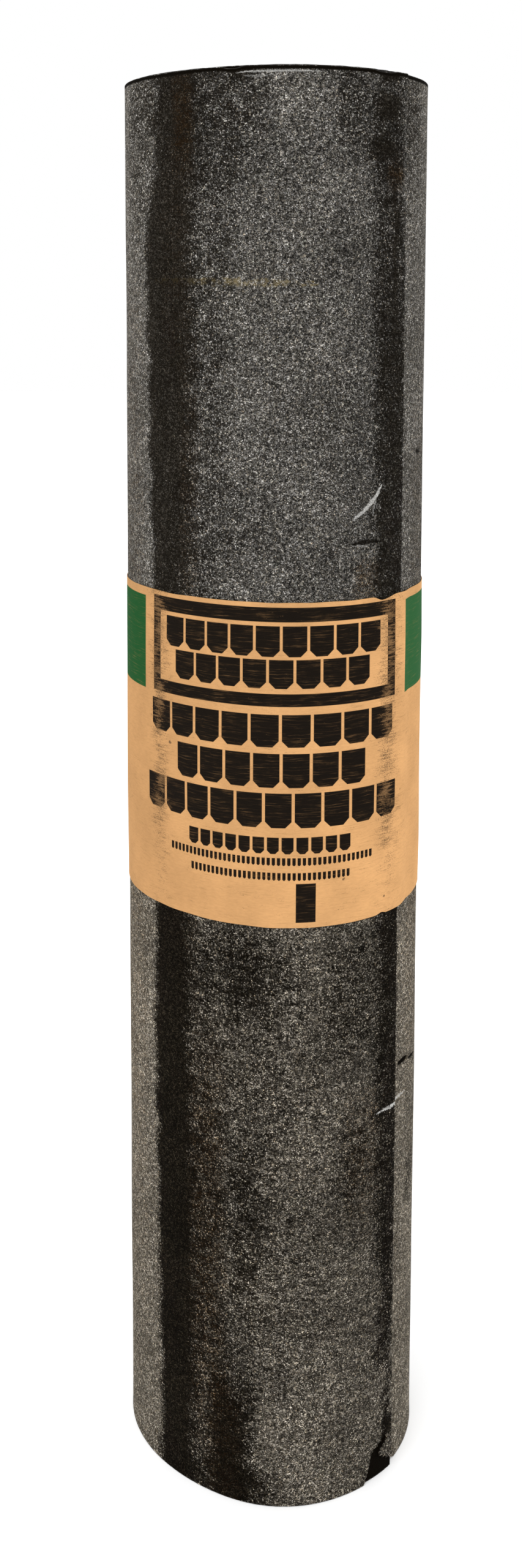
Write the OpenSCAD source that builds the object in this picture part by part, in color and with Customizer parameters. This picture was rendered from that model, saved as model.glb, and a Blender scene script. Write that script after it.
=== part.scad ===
// Roll of mineral-surfaced roofing felt, standing on its end, with a paper band round its middle.
// Millimetres. The origin is the centre of the lower end, +Z runs up the axis of the roll,
// and -Y is the side that carries the front of the band.

/* [Roll] */
// Width of the felt, which is the height of the standing roll
felt_width = 914.4; // [600:0.1:1200]
// Outside diameter of the wound roll
roll_diameter = 196; // [150:1:300]
// Diameter of the open bore that the winding mandrel leaves
bore_diameter = 50; // [30:1:100]

/* [Turns] */
// Radial pitch of one turn: the felt's thickness and the slack up to the next turn
turn_pitch = 2.43; // [2:0.01:5]
// Slack between two turns, which shows on the ends as a fine gap
turn_slack = 0.35; // [0.2:0.05:0.8]
// Depth of the gaps between the turns, as far as they are cut in from each end
gap_depth = 6; // [2:0.5:20]
// Bevel of the felt's worn outer edge at each end
edge_bevel = 0.6; // [0.2:0.1:1.5]

/* [Paper band] */
// Height of the band
band_height = 205; // [100:1:400]
// Height of the band's lower edge above the lower end of the roll
band_rise = 389.5; // [0:0.5:500]
// Thickness of the band's paper
band_thickness = 0.3; // [0.2:0.05:1]
// Clearance between the felt and the inside of the band
band_clearance = 0.1; // [0.05:0.05:0.3]
// Length of the glued lap at the back, measured round the roll
band_lap = 40; // [10:1:120]

/* [Hidden] */
$fn = 180;

roll_radius = roll_diameter / 2;
bore_radius = bore_diameter / 2;
turn_count = floor((roll_radius - bore_radius) / turn_pitch);

band_radius = roll_radius + band_clearance;
lap_radius = band_radius + band_thickness;
lap_angle = band_lap / lap_radius * 180 / PI;

// Radius of the middle of the gap inside turn i, where turn 1 is the outermost
function gap_radius(i) = roll_radius - i * turn_pitch;

// One end of the roll's half section, from the bore to the outer edge: flat lands, which are the
// edges of the turns, and a slot for the slack between each two of them
function end_profile(face, depth) = [
    [bore_radius, face],
    for (i = [turn_count - 1 : -1 : 1])
        let (inside = gap_radius(i) - turn_slack / 2, outside = gap_radius(i) + turn_slack / 2)
            each [[inside, face], [inside, face + depth], [outside, face + depth], [outside, face]],
    [roll_radius - edge_bevel, face]
];

function reversed(points) = [for (i = [len(points) - 1 : -1 : 0]) points[i]];

// The whole wound length of felt, as one turned solid with its bore
module felt_roll() {
    color([0.30, 0.29, 0.27])
        rotate_extrude()
            polygon(concat(
                end_profile(0, gap_depth),
                [[roll_radius, edge_bevel], [roll_radius, felt_width - edge_bevel]],
                reversed(end_profile(felt_width, -gap_depth))
            ));
}

// A stretch of the band's paper, from its inside face out to a thickness
module paper_wrap(thickness, angle = 360) {
    rotate_extrude(angle = angle)
        translate([band_radius, 0])
            square([thickness, band_height]);
}

// The paper wrapped once round the roll, and double where its ends are glued together at the back
module paper_band() {
    color([0.85, 0.65, 0.43])
        translate([0, 0, band_rise]) {
            paper_wrap(band_thickness);
            rotate([0, 0, 90 - lap_angle / 2])
                paper_wrap(2 * band_thickness, lap_angle);
        }
}

felt_roll();
paper_band();
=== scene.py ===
"""A roll of mineral-surfaced roofing felt on its end, with a printed paper band round its middle.

The felt is one sheet wound in a spiral. Its outer turn carries the marks of handling, and its inner turns
show on the two ends and down the bore. Lengths are in metres. An azimuth is an angle round the roll in
degrees, from the front (-Y) towards the right (+X), and a height is measured up from the floor.
"""

from __future__ import annotations

import functools
import logging
import math
from dataclasses import dataclass, field
from enum import Enum, IntEnum
from typing import ClassVar

import bpy
import numpy as np
from mathutils import Matrix, Vector

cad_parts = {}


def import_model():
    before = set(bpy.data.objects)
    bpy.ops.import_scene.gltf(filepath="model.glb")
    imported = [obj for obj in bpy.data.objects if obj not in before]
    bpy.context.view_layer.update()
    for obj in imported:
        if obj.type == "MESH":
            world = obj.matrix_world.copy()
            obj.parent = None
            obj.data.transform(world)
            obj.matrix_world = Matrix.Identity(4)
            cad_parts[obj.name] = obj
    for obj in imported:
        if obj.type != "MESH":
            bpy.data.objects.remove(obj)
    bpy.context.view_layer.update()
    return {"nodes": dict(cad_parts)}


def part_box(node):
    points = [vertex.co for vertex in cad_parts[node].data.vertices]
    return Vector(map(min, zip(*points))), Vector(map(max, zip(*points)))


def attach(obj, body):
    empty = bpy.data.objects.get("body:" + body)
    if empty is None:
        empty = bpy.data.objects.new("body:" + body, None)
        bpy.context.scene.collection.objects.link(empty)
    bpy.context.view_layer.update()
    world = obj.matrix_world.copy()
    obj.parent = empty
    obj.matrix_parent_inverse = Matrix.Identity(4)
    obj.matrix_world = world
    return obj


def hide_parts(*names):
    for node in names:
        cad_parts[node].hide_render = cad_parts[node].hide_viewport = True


MM = 0.001
FELT_NODE, BAND_NODE = "felt_roll", "paper_band"
WRAP_MAP, BAKE_MAP = "Wrap", "OFBake"
CAP_SPREAD = 0.004  # room that a cap takes on a map, past the first or the last station
EDGE_REACH = 6.0 * MM  # how far from an edge its unevenness is felt
BORE_RADIUS = 25.0 * MM
WRAP_RADIUS = 96.5 * MM  # radius at which an angle becomes a length round the roll

log = logging.getLogger("felt_roll")

Array = np.ndarray
Pair = tuple[float, float]
Triple = tuple[float, float, float]
Material = bpy.types.Material
Outputs = bpy.types.NodeOutputs
Socket = bpy.types.NodeSocket
Feed = Socket | float | tuple[float, ...]
Feeds = dict[str | int, Feed]


# ---------------------------------------------------------------- shapes worked out as arrays


def smoothstep(low: float, high: float, value: Array) -> Array:
    """Rises from 0 at low to 1 at high along 3x^2 - 2x^3, with x the share of the way."""
    share = np.clip((value - low) / (high - low), 0.0, 1.0)
    return share * share * (3.0 - 2.0 * share)


def hump(value: Array, centre: float, reach: float) -> Array:
    """A bell exp(-x^2) of height 1 round a centre, with x the distance over the reach."""
    return np.exp(-(((value - centre) / reach) ** 2))


def near_edges(height: Array, low: float, high: float) -> tuple[Array, Array]:
    """How near a height is to a lower and an upper edge, from 0 at EDGE_REACH away to 1 at the edge."""
    return 1.0 - smoothstep(low, low + EDGE_REACH, height), smoothstep(high - EDGE_REACH, high, height)


def graded(low: float, high: float, count: int, spots: tuple[Triple, ...]) -> Array:
    """Spreads values between two limits, closer together round chosen spots.

    The density is 1 plus a bell of the given weight and reach at each spot, and each step between two
    values holds the same share of the density's running total.

    Args:
        low: First value.
        high: Last value.
        count: How many values.
        spots: Centre, reach and weight of each spot.

    Returns:
        The values in rising order.
    """
    fine = np.linspace(low, high, 4000)
    density = 1.0 + sum(weight * hump(fine, centre, reach) for centre, reach, weight in spots)
    total = np.concatenate([[0.0], np.cumsum((density[1:] + density[:-1]) / 2.0)])
    return np.interp(np.linspace(0.0, total[-1], count), total, fine)


@dataclass(frozen=True)
class Waves:
    """Smooth irregularity that closes round the roll and is the same each run.

    The value at azimuth a and height h is the sum of cos(n a + 2 pi f h + p) over a set of waves, each with a
    whole number n, a frequency f and a phase p drawn from the seed, scaled to lie mostly between -1 and 1.

    Attributes:
        seed: Seed of the draw.
        around: Most waves in one turn.
        along: Most waves in a metre of height.
        count: Number of waves.
    """

    seed: int
    around: int
    along: float
    count: int = 28

    def at(self, azimuth: Array, height: Array | float = 0.0) -> Array:
        """Value of the irregularity.

        Args:
            azimuth: Azimuths in degrees.
            height: Heights, of a shape that fits the azimuths.

        Returns:
            The values, as one array of the two shapes together.
        """
        draw = np.random.default_rng(self.seed)
        turns = draw.integers(1, self.around + 1, self.count)
        rises = draw.uniform(-self.along, self.along, self.count)
        phases = draw.uniform(0.0, 2.0 * math.pi, self.count)
        angle = np.radians(azimuth)
        total = np.zeros(np.broadcast(angle, height).shape)
        for turn, rise, phase in zip(turns, rises, phases, strict=True):
            total += np.cos(turn * angle + 2.0 * math.pi * rise * height + phase)
        return total / math.sqrt(self.count)


@dataclass(frozen=True)
class Winding:
    """The spiral that the sheet is wound in.

    At t turns in from the free edge the azimuth is the free edge's less 360 t, and the outer face lies at
    the radius R + D, with R = outer_radius - pitch t. D makes the section out of round: a sum of
    a cos(k azimuth) + b sin(k azimuth), which fades towards the bore as R^1.5, and loose waves that open
    and close the gaps between the inner turns.

    Attributes:
        bore_radius: Radius of the open bore.
        free_edge: Azimuth of the sheet's free edge.
        outer_radius: Radius of the outer face at the free edge.
        pitch: Radial distance from one turn to the next.
        thickness: Thickness of the sheet.
        swells: Number of waves round the roll, and the cosine and sine parts, of each departure from round.
        loose: Size of the loose waves.
        loose_reach: Radial distance over which the loose waves change once.
    """

    bore_radius: float
    free_edge: float = 52.5
    outer_radius: float = 97.1 * MM
    pitch: float = 2.43 * MM
    thickness: float = 2.05 * MM
    swells: tuple[tuple[int, float, float], ...] = (
        (2, -0.9 * MM, 1.35 * MM),
        (3, -0.95 * MM, 1.45 * MM),
        (4, 1.1 * MM, -0.2 * MM),
    )
    loose: float = 0.3 * MM
    loose_reach: float = 17.0 * MM

    @property
    def turns(self) -> float:
        """How many turns the sheet makes from its free edge to its inner end."""
        return (self.outer_radius - self.thickness - self.bore_radius) / self.pitch

    def azimuth(self, turns: Array) -> Array:
        """Azimuth at so many turns in from the free edge."""
        return self.free_edge - 360.0 * turns

    def radius(self, turns: Array, azimuth: Array | None = None) -> Array:
        """Radius of the sheet's outer face.

        Args:
            turns: Turns in from the free edge.
            azimuth: Azimuth, where it isn't the one that goes with the turns.

        Returns:
            The radius, with the section's departure from round.
        """
        angle = np.radians(self.azimuth(turns) if azimuth is None else azimuth)
        plain = self.outer_radius - self.pitch * turns
        swell = sum(a * np.cos(k * angle) + b * np.sin(k * angle) for k, a, b in self.swells)
        depth = (self.outer_radius - plain) / self.loose_reach
        waves = np.sin(depth + 2.0 * angle + 0.6) + 0.7 * np.sin(1.3 * depth - 3.0 * angle + 2.1)
        settled = np.clip(depth / 1.5, 0.0, 1.0)
        return plain + swell * (plain / self.outer_radius) ** 1.5 + self.loose * settled * waves

    def outline(self, azimuth: Array, bridge: float) -> Array:
        """Radius of a wrapping's inside at any azimuth, where the felt steps down past its free edge.

        Args:
            azimuth: Azimuths in degrees.
            bridge: Angle over which a wrapping eases down the step.

        Returns:
            The radius.
        """
        turns = np.mod(self.free_edge - azimuth, 360.0) / 360.0
        past = np.mod(azimuth - self.free_edge, 360.0)
        step = self.pitch * (1.0 - smoothstep(0.0, bridge, past)) * (past > 0.0)
        return self.radius(turns, azimuth) + step


def fold(azimuth: Array) -> Array:
    """The same azimuth between -180 and 180."""
    return np.mod(azimuth + 180.0, 360.0) - 180.0


def wrapped(azimuth: Array | float) -> Array | float:
    """Length round the roll of an angle, on the map that the finishes are drawn on."""
    return np.radians(azimuth) * WRAP_RADIUS


def place(radius: Array, azimuth: Array, height: Array) -> Array:
    """Points at a radius, azimuth and height: (r sin a, -r cos a, h).

    Args:
        radius: Distances from the roll's axis.
        azimuth: Azimuths in degrees.
        height: Heights.

    Returns:
        The points, with their three coordinates along the last axis.
    """
    angle = np.radians(azimuth)
    radius, angle, height = np.broadcast_arrays(radius, angle, height)
    return np.stack([radius * np.sin(angle), -radius * np.cos(angle), height], axis=-1)


@dataclass(frozen=True)
class SheetLoop:
    """The line round a sheet's cross-section: up its outer face, over its top edge and down its inner face.

    Attributes:
        depth: Distance of each point below the outer face.
        height: Height of each point.
        outer: Number of points on the outer face, which come first.
        top: Number of points over the top edge, which come next.
        inner: Number of points on the inner face.
    """

    depth: Array
    height: Array
    outer: int
    top: int
    inner: int

    @classmethod
    def around(cls, thickness: float, outer: Array, inner: Array, end: float, corner: float) -> SheetLoop:
        """Builds the loop of a sheet whose edges are rounded.

        Each corner is a quarter circle: at angle q its depth is c (1 - cos q) and its inset c (1 - sin q).

        Args:
            thickness: Thickness of the sheet.
            outer: Heights of the points on the outer face, rising, between the rounded edges.
            inner: Heights of the points on the inner face, rising.
            end: Height of the top edge, with the lower one at 0.
            corner: Radius of the outer corners. The inner ones have two thirds of it.

        Returns:
            The loop.
        """
        turn = np.radians([12.0, 38.0, 64.0, 90.0])
        worn = 0.66 * corner
        back = turn[::-1]
        depth = np.concatenate([corner * (1.0 - np.cos(turn)), thickness - worn * (1.0 - np.cos(back))])
        inset = np.concatenate([corner * (1.0 - np.sin(turn)), worn * (1.0 - np.sin(back))])
        return cls(
            depth=np.concatenate([0.0 * outer, depth, 0.0 * inner + thickness, depth[::-1]]),
            height=np.concatenate([outer, end - inset, inner[::-1], inset[::-1]]),
            outer=len(outer),
            top=len(depth),
            inner=len(inner),
        )

    def strips(self, outer: int, edge: int, inner: int) -> Array:
        """Finish of each strip of the loop, from those of the outer face, the edges and the inner face."""
        counts = [self.outer, self.top - 1, self.inner + 1, self.top - 1, 1]
        return np.repeat([outer, edge, inner, edge, outer], counts)

    def shares(self, outer: float, edge: float, inner: float) -> Array:
        """Place of each point along one side of a map, where each part of the loop gets a share of it.

        Args:
            outer: Share of the outer face.
            edge: Share of each edge.
            inner: Share of the inner face.

        Returns:
            The places from 0 to 1, with the first point repeated at the end.
        """
        step = np.abs(np.diff(self.height)) + np.abs(np.diff(self.depth))
        kinds = self.strips(0, 1, 2)[:-1]
        kinds[self.outer + self.top + self.inner :] = 3
        wanted = np.array([outer, edge, inner, edge])
        step = step * wanted[kinds] / np.bincount(kinds, step, 4)[kinds]
        return np.concatenate([[0.0], np.cumsum(step), [step.sum() * 1.003]]) / (step.sum() * 1.003)


def lay_out(along: Array, across: Array) -> Array:
    """Coordinates of a map whose one side runs along the stations and the other round the loop.

    Args:
        along: Coordinate at the two stations of each strip.
        across: Coordinate at each place on the loop, with the first repeated: one list for all the strips,
            or one for each strip, with a coordinate for each of its two stations.

    Returns:
        The chart, as a sleeve takes it.
    """
    up = across if across.ndim == 3 else across[None, :, None]
    shape = np.broadcast_shapes((len(along), 1, 2), up.shape)
    return np.stack([np.broadcast_to(along[:, None, :], shape), np.broadcast_to(up, shape)], axis=-1)


@dataclass
class Sleeve:
    """A closed skin: a loop of points carried along stations, with a cap on the first and the last.

    Attributes:
        points: The points, by station and by place on the loop.
        strips: Material slot of the strip from each loop point to the next.
        cap: Material slot of the caps.
        maps: For each UV map, the coordinates at both stations of each strip of faces, by station, by place
            on the loop with the first one repeated at the end, and by near or far station.
        values: Attributes of the points, by name.
    """

    points: Array
    strips: Array
    cap: int
    maps: dict[str, Array]
    values: dict[str, Array] = field(default_factory=dict)

    def mesh(self, name: str) -> bpy.types.Mesh:
        """Makes the mesh: a quad between each two points of the loop and of the stations, and two caps.

        Args:
            name: Name of the mesh.

        Returns:
            The mesh, with its maps and attributes, smooth apart from the caps.
        """
        stations, loop, _ = self.points.shape
        index = np.arange(stations * loop).reshape(stations, loop)
        ahead = np.roll(index, -1, axis=1)
        quads = np.stack([index[:-1], ahead[:-1], ahead[1:], index[1:]], axis=-1).reshape(-1)
        corners = np.concatenate([quads, index[0][::-1], index[-1]])
        sizes = np.concatenate([np.full(len(quads) // 4, 4), [loop, loop]])
        mesh = bpy.data.meshes.new(name)
        mesh.vertices.add(stations * loop)
        mesh.vertices.foreach_set("co", self.points.astype(np.float32).reshape(-1))
        mesh.loops.add(len(corners))
        mesh.loops.foreach_set("vertex_index", corners.astype(np.int32))
        mesh.polygons.add(len(sizes))
        mesh.polygons.foreach_set("loop_start", (np.cumsum(sizes) - sizes).astype(np.int32))
        slots = np.concatenate([np.tile(self.strips, stations - 1), [self.cap, self.cap]])
        mesh.polygons.foreach_set("material_index", slots.astype(np.int32))
        mesh.polygons.foreach_set("use_smooth", np.arange(len(sizes)) < len(sizes) - 2)
        mesh.update(calc_edges=True)
        for label, chart in self.maps.items():
            self._lay(mesh, label, chart)
        for label, value in self.values.items():
            layer = mesh.attributes.new(label, "FLOAT", "POINT")
            spread = np.broadcast_to(value, (stations, loop))
            layer.data.foreach_set("value", spread.astype(np.float32).reshape(-1))
        mesh.validate()
        return mesh

    def _lay(self, mesh: bpy.types.Mesh, label: str, chart: Array) -> None:
        """Writes one UV map, with the caps spread a little past the first and last station.

        Args:
            mesh: The mesh.
            label: Name of the map.
            chart: Its coordinates, as maps holds them.
        """
        near, far = chart[:, :, 0], chart[:, :, 1]
        quads = np.stack([near[:, :-1], near[:, 1:], far[:, 1:], far[:, :-1]], axis=2).reshape(-1, 2)
        aside = np.array([1.0, 0.0]) * CAP_SPREAD * np.linspace(0.0, 1.0, chart.shape[1] - 1)[:, None]
        first, last = near[0, :-1] - aside, far[-1, :-1] + aside
        corners = np.concatenate([quads, first[::-1], last])
        layer = mesh.uv_layers.new(name=label)
        layer.uv.foreach_set("vector", corners.astype(np.float32).reshape(-1))


# ---------------------------------------------------------------- wear on the outer turn


@dataclass(frozen=True)
class Course:
    """A value that changes with height, straight between a few heights and level past them.

    Attributes:
        heights: The heights, rising.
        values: The value at each.
    """

    heights: tuple[float, ...]
    values: tuple[float, ...]

    def at(self, height: Array) -> Array:
        """Value at each height."""
        return np.interp(height, self.heights, self.values)


@dataclass(frozen=True)
class PressedStrip:
    """An upright strip where the granules were pressed into the asphalt, which leaves it dark and flat.

    Attributes:
        left: Azimuth of the left side by height.
        right: Azimuth of the right side by height.
        left_fade: Angle over which the left side fades in.
        right_fade: Angle over which the right side fades out.
        strength: How dark the strip is by height, from 0 to 1.
    """

    left: Course
    right: Course
    left_fade: float
    right_fade: float
    strength: Course

    def mask(self, azimuth: Array, height: Array) -> Array:
        """How far each place is pressed: the product of a rise at the left side and a fall at the right one.

        Args:
            azimuth: Azimuths of the places.
            height: Heights of the places.

        Returns:
            The mask, from 0 to 1.
        """
        left, right = self.left.at(height), self.right.at(height)
        rise = smoothstep(-self.left_fade / 2.0, self.left_fade / 2.0, azimuth - left)
        fall = smoothstep(-self.right_fade / 2.0, self.right_fade / 2.0, right - azimuth)
        return rise * fall * self.strength.at(height)


@dataclass(frozen=True)
class Blotch:
    """A smudge with a soft edge, as high as a bell over its two half widths.

    Attributes:
        azimuth: Azimuth of its middle.
        height: Height of its middle.
        half_angle: Half its width, as an angle.
        half_height: Half its height.
        strength: Its mask at the middle.
    """

    azimuth: float
    height: float
    half_angle: float
    half_height: float
    strength: float

    def mask(self, azimuth: Array, height: Array) -> Array:
        """The mask s exp(-(x^4 + y^4)), with x and y the distances over the half widths.

        Args:
            azimuth: Azimuths of the places.
            height: Heights of the places.

        Returns:
            The mask, from 0 to the strength.
        """
        across = (azimuth - self.azimuth) / self.half_angle
        up = (height - self.height) / self.half_height
        return self.strength * np.exp(-(across**4 + up**4))


@dataclass(frozen=True)
class Tear:
    """The torn lower corner of the outer turn, which opens downwards between two ragged sides.

    Attributes:
        left: Azimuth of the left side by height.
        right: Azimuth of the right side by height.
        edge: Width of the broken edge, as an angle.
        depth: How far the sheet is torn away.
    """

    left: Course
    right: Course
    edge: float
    depth: float

    def mask(self, azimuth: Array, height: Array) -> Array:
        """1 where the sheet is torn away and 0 outside both sides."""
        inside = np.minimum(azimuth - self.left.at(height), self.right.at(height) - azimuth)
        return smoothstep(0.0, self.edge, inside)


@dataclass(frozen=True)
class Crack:
    """A level crack in the coating, widest in its middle.

    Attributes:
        start: Azimuth and height of its left end.
        end: Azimuth and height of its right end.
        width: Its width in the middle.
        depth: Its depth in the middle.
    """

    start: Pair
    end: Pair
    width: float
    depth: float

    def recess(self, azimuth: Array, height: Array) -> Array:
        """Depth of the crack: along it 4s(1 - s) to the half, and across it a bell.

        Args:
            azimuth: Azimuths of the places.
            height: Heights of the places.

        Returns:
            The depth below the sound surface.
        """
        share = np.clip((azimuth - self.start[0]) / (self.end[0] - self.start[0]), 0.0, 1.0)
        line = self.start[1] + share * (self.end[1] - self.start[1])
        open_part = np.sqrt(4.0 * share * (1.0 - share))
        return self.depth * open_part * hump(height, line, self.width / 2.0)


@dataclass(frozen=True)
class OuterWear:
    """What handling, stacking and weather have done to the outer turn.

    Attributes:
        width: Width of the felt, which is the roll's height.
        strips: The strips where granules were pressed in.
        blotches: The smudges of asphalt.
        stains: The brown stains.
        tear: The torn corner.
        cracks: The cracks in the coating.
        chips: The deeper chips in the top edge, whose strengths are depths.
        ripples: Ripples of the whole sheet.
        nicks: Fine nicks in both edges.
        tones: Slow drift of the granules' brightness.
        wander: Sway of the marks' sides with height.
        ripple_size: Half the most that a ripple stands out.
        top_nick: Usual depth of a nick in the top edge.
        bottom_nick: Usual depth of a nick in the lower edge.
        flare: How far the sheet stands out at its two ends.
        flare_reach: Height over which the flare fades.
    """

    width: float
    strips: tuple[PressedStrip, ...] = (
        PressedStrip(
            left=Course(
                (0.0, 0.1, 0.2, 0.32, 0.39, 0.6, 0.7, 0.822, 0.845, 0.914),
                (-51.0, -52.0, -53.4, -54.8, -54.0, -55.0, -57.8, -59.6, -54.0, -52.0),
            ),
            right=Course(
                (0.0, 0.1, 0.2, 0.385, 0.6, 0.75, 0.86, 0.914),
                (-33.0, -32.5, -32.5, -35.5, -36.0, -34.0, -33.0, -33.0),
            ),
            left_fade=4.8,
            right_fade=14.5,
            strength=Course(
                (0.0, 0.05, 0.4, 0.6, 0.8, 0.85, 0.914), (0.97, 1.0, 1.0, 0.94, 0.97, 0.90, 0.92)
            ),
        ),
        PressedStrip(
            left=Course(
                (0.0, 0.13, 0.17, 0.385, 0.6, 0.72, 0.8, 0.87, 0.914),
                (45.0, 45.5, 41.5, 41.0, 38.4, 37.4, 35.8, 34.5, 35.5),
            ),
            # The right side runs a little past the felt's free edge at 52.5 degrees, so the strip also
            # darkens the turn below there. This is dirt, and also a painted shadow under the edge.
            right=Course(
                (0.0, 0.13, 0.17, 0.385, 0.6, 0.8, 0.87, 0.914),
                (50.5, 51.0, 53.0, 53.8, 52.8, 52.2, 50.5, 49.0),
            ),
            left_fade=9.0,
            right_fade=3.4,
            strength=Course(
                (0.0, 0.025, 0.09, 0.11, 0.17, 0.24, 0.385, 0.6, 0.66, 0.74, 0.8, 0.85, 0.914),
                (0.08, 0.08, 0.14, 0.58, 0.74, 0.80, 0.84, 0.88, 0.82, 0.84, 0.62, 0.42, 0.30),
            ),
        ),
        PressedStrip(
            left=Course((0.6, 0.914), (-40.0, -38.0)),
            right=Course((0.6, 0.75, 0.914), (-20.0, -19.0, -24.0)),
            left_fade=4.0,
            right_fade=16.0,
            strength=Course((0.45, 0.6, 0.75, 0.85, 0.914), (0.0, 0.36, 0.40, 0.20, 0.12)),
        ),
        PressedStrip(
            left=Course((0.0, 0.914), (150.0, 147.0)),
            right=Course((0.0, 0.914), (163.0, 165.0)),
            left_fade=9.0,
            right_fade=5.0,
            strength=Course((0.0, 0.3, 0.6, 0.914), (0.55, 0.25, 0.5, 0.7)),
        ),
    )
    blotches: tuple[Blotch, ...] = (
        Blotch(-17.5, 0.034, 9.5, 0.056, 0.92),
        Blotch(-26.0, 0.14, 7.0, 0.17, 0.36),
        Blotch(-11.0, 0.178, 5.5, 0.045, 0.45),
        Blotch(-12.0, 0.225, 4.0, 0.02, 0.3),
        Blotch(-20.0, 0.36, 14.0, 0.03, 0.4),
        Blotch(42.3, 0.892, 6.5, 0.0085, 1.0),
        Blotch(39.5, 0.868, 7.0, 0.008, 0.9),
        Blotch(45.5, 0.835, 4.0, 0.022, 0.4),
        Blotch(46.5, 0.810, 1.3, 0.055, 0.75),
        Blotch(-14.0, 0.911, 5.5, 0.004, 1.0),
        Blotch(43.0, 0.9115, 5.5, 0.0035, 1.0),
        Blotch(25.0, 0.893, 5.0, 0.022, 0.3),
        Blotch(-12.0, 0.88, 9.0, 0.035, 0.28),
        Blotch(70.0, 0.19, 5.5, 0.022, 0.4),
        Blotch(-30.0, 0.897, 21.0, 0.024, 0.46),
        Blotch(-27.0, 0.862, 11.0, 0.022, 0.34),
        Blotch(-62.0, 0.898, 10.0, 0.017, 0.50),
        Blotch(-63.0, 0.858, 11.0, 0.045, 0.34),
        Blotch(60.0, 0.860, 7.0, 0.048, 0.24),
        Blotch(-21.0, 0.815, 7.0, 0.045, 0.24),
        Blotch(34.0, 0.885, 13.0, 0.030, 0.26),
        Blotch(58.0, 0.893, 7.0, 0.020, 0.40),
        Blotch(-43.0, 0.840, 11.0, 0.012, 0.55),
        Blotch(20.0, 0.700, 12.0, 0.030, 0.16),
        Blotch(-12.0, 0.640, 11.0, 0.030, 0.18),
        Blotch(30.0, 0.340, 12.0, 0.040, 0.34),
        Blotch(31.0, 0.225, 7.0, 0.030, 0.34),
        Blotch(-6.0, 0.355, 12.0, 0.022, 0.30),
        Blotch(-13.0, 0.012, 13.0, 0.012, 0.75),
        Blotch(-38.0, 0.010, 16.0, 0.009, 0.70),
        Blotch(49.3, 0.032, 3.2, 0.0085, 0.95),
        Blotch(48.4, 0.052, 1.7, 0.010, 0.55),
        Blotch(50.2, 0.068, 2.6, 0.006, 0.45),
        Blotch(47.0, 0.081, 3.6, 0.004, 0.50),
        Blotch(47.2, 0.094, 4.6, 0.005, 0.75),
        Blotch(43.2, 0.088, 2.2, 0.006, 0.60),
        Blotch(46.6, 0.114, 4.0, 0.006, 0.70),
        Blotch(51.0, 0.123, 3.0, 0.005, 0.60),
        Blotch(47.0, 0.155, 3.0, 0.012, 0.4),
        Blotch(118.0, 0.72, 9.0, 0.04, 0.35),
        Blotch(-112.0, 0.2, 12.0, 0.05, 0.35),
    )
    stains: tuple[Blotch, ...] = (
        Blotch(-38.5, 0.885, 5.5, 0.03, 0.76),
        Blotch(-43.0, 0.8, 8.0, 0.07, 0.25),
        Blotch(-28.0, 0.17, 9.0, 0.14, 0.52),
        Blotch(-20.0, 0.04, 8.0, 0.05, 0.35),
        Blotch(-36.0, 0.55, 5.0, 0.2, 0.35),
        Blotch(46.0, 0.853, 4.5, 0.007, 0.9),
        Blotch(34.0, 0.605, 6.0, 0.016, 0.6),
        Blotch(35.0, 0.23, 9.0, 0.05, 0.35),
        Blotch(82.0, 0.86, 4.0, 0.012, 0.9),
        Blotch(72.0, 0.5, 12.0, 0.25, 0.3),
        Blotch(-74.0, 0.45, 14.0, 0.4, 0.3),
    )
    tear: Tear = Tear(
        left=Course(
            (0.0, 0.003, 0.008, 0.012, 0.018, 0.021, 0.023, 0.025, 0.028),
            (37.4, 38.0, 39.3, 40.0, 40.5, 42.0, 44.6, 46.4, 48.0),
        ),
        right=Course(
            (0.0, 0.003, 0.0065, 0.009, 0.012, 0.014, 0.017, 0.019, 0.021, 0.024, 0.028),
            (57.0, 54.0, 52.0, 50.0, 47.0, 45.4, 45.0, 46.0, 47.6, 49.0, 48.0),
        ),
        edge=0.45,
        depth=1.85 * MM,
    )
    cracks: tuple[Crack, ...] = (
        Crack((56.3, 0.2783), (65.0, 0.2775), 3.1 * MM, 1.7 * MM),
        Crack((66.3, 0.2748), (77.5, 0.2700), 2.2 * MM, 1.4 * MM),
        Crack((27.5, 0.6290), (40.0, 0.6292), 1.1 * MM, 0.7 * MM),
        Crack((65.0, 0.6815), (78.0, 0.6800), 1.3 * MM, 0.9 * MM),
        Crack((66.0, 0.7690), (71.5, 0.7688), 1.2 * MM, 0.8 * MM),
        Crack((66.0, 0.8945), (72.0, 0.8940), 1.0 * MM, 0.6 * MM),
        Crack((-6.6, 0.7925), (-3.4, 0.7922), 1.2 * MM, 0.7 * MM),
        Crack((-62.5, 0.8180), (-59.5, 0.8176), 1.4 * MM, 0.9 * MM),
        Crack((66.0, 0.1440), (80.0, 0.1425), 1.2 * MM, 0.7 * MM),
        Crack((-150.0, 0.5080), (-139.0, 0.5100), 1.5 * MM, 1.0 * MM),
    )
    chips: tuple[Blotch, ...] = (
        Blotch(-17.0, 0.0, 3.4, 1.0, 1.3 * MM),
        Blotch(40.5, 0.0, 4.5, 1.0, 1.1 * MM),
        Blotch(84.0, 0.0, 2.0, 1.0, 0.8 * MM),
        Blotch(-96.0, 0.0, 2.6, 1.0, 1.4 * MM),
        Blotch(141.0, 0.0, 3.0, 1.0, 1.2 * MM),
        Blotch(-160.0, 0.0, 1.8, 1.0, 0.9 * MM),
    )
    ripples: Waves = Waves(seed=11, around=7, along=9.0)
    nicks: Waves = Waves(seed=12, around=150, along=0.0, count=60)
    tones: Waves = Waves(seed=13, around=9, along=14.0)
    wander: Waves = Waves(seed=14, around=3, along=38.0, count=40)
    ripple_size: float = 0.16 * MM
    top_nick: float = 0.09 * MM
    bottom_nick: float = 0.10 * MM
    flare: float = 0.25 * MM
    flare_reach: float = 10.0 * MM

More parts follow.
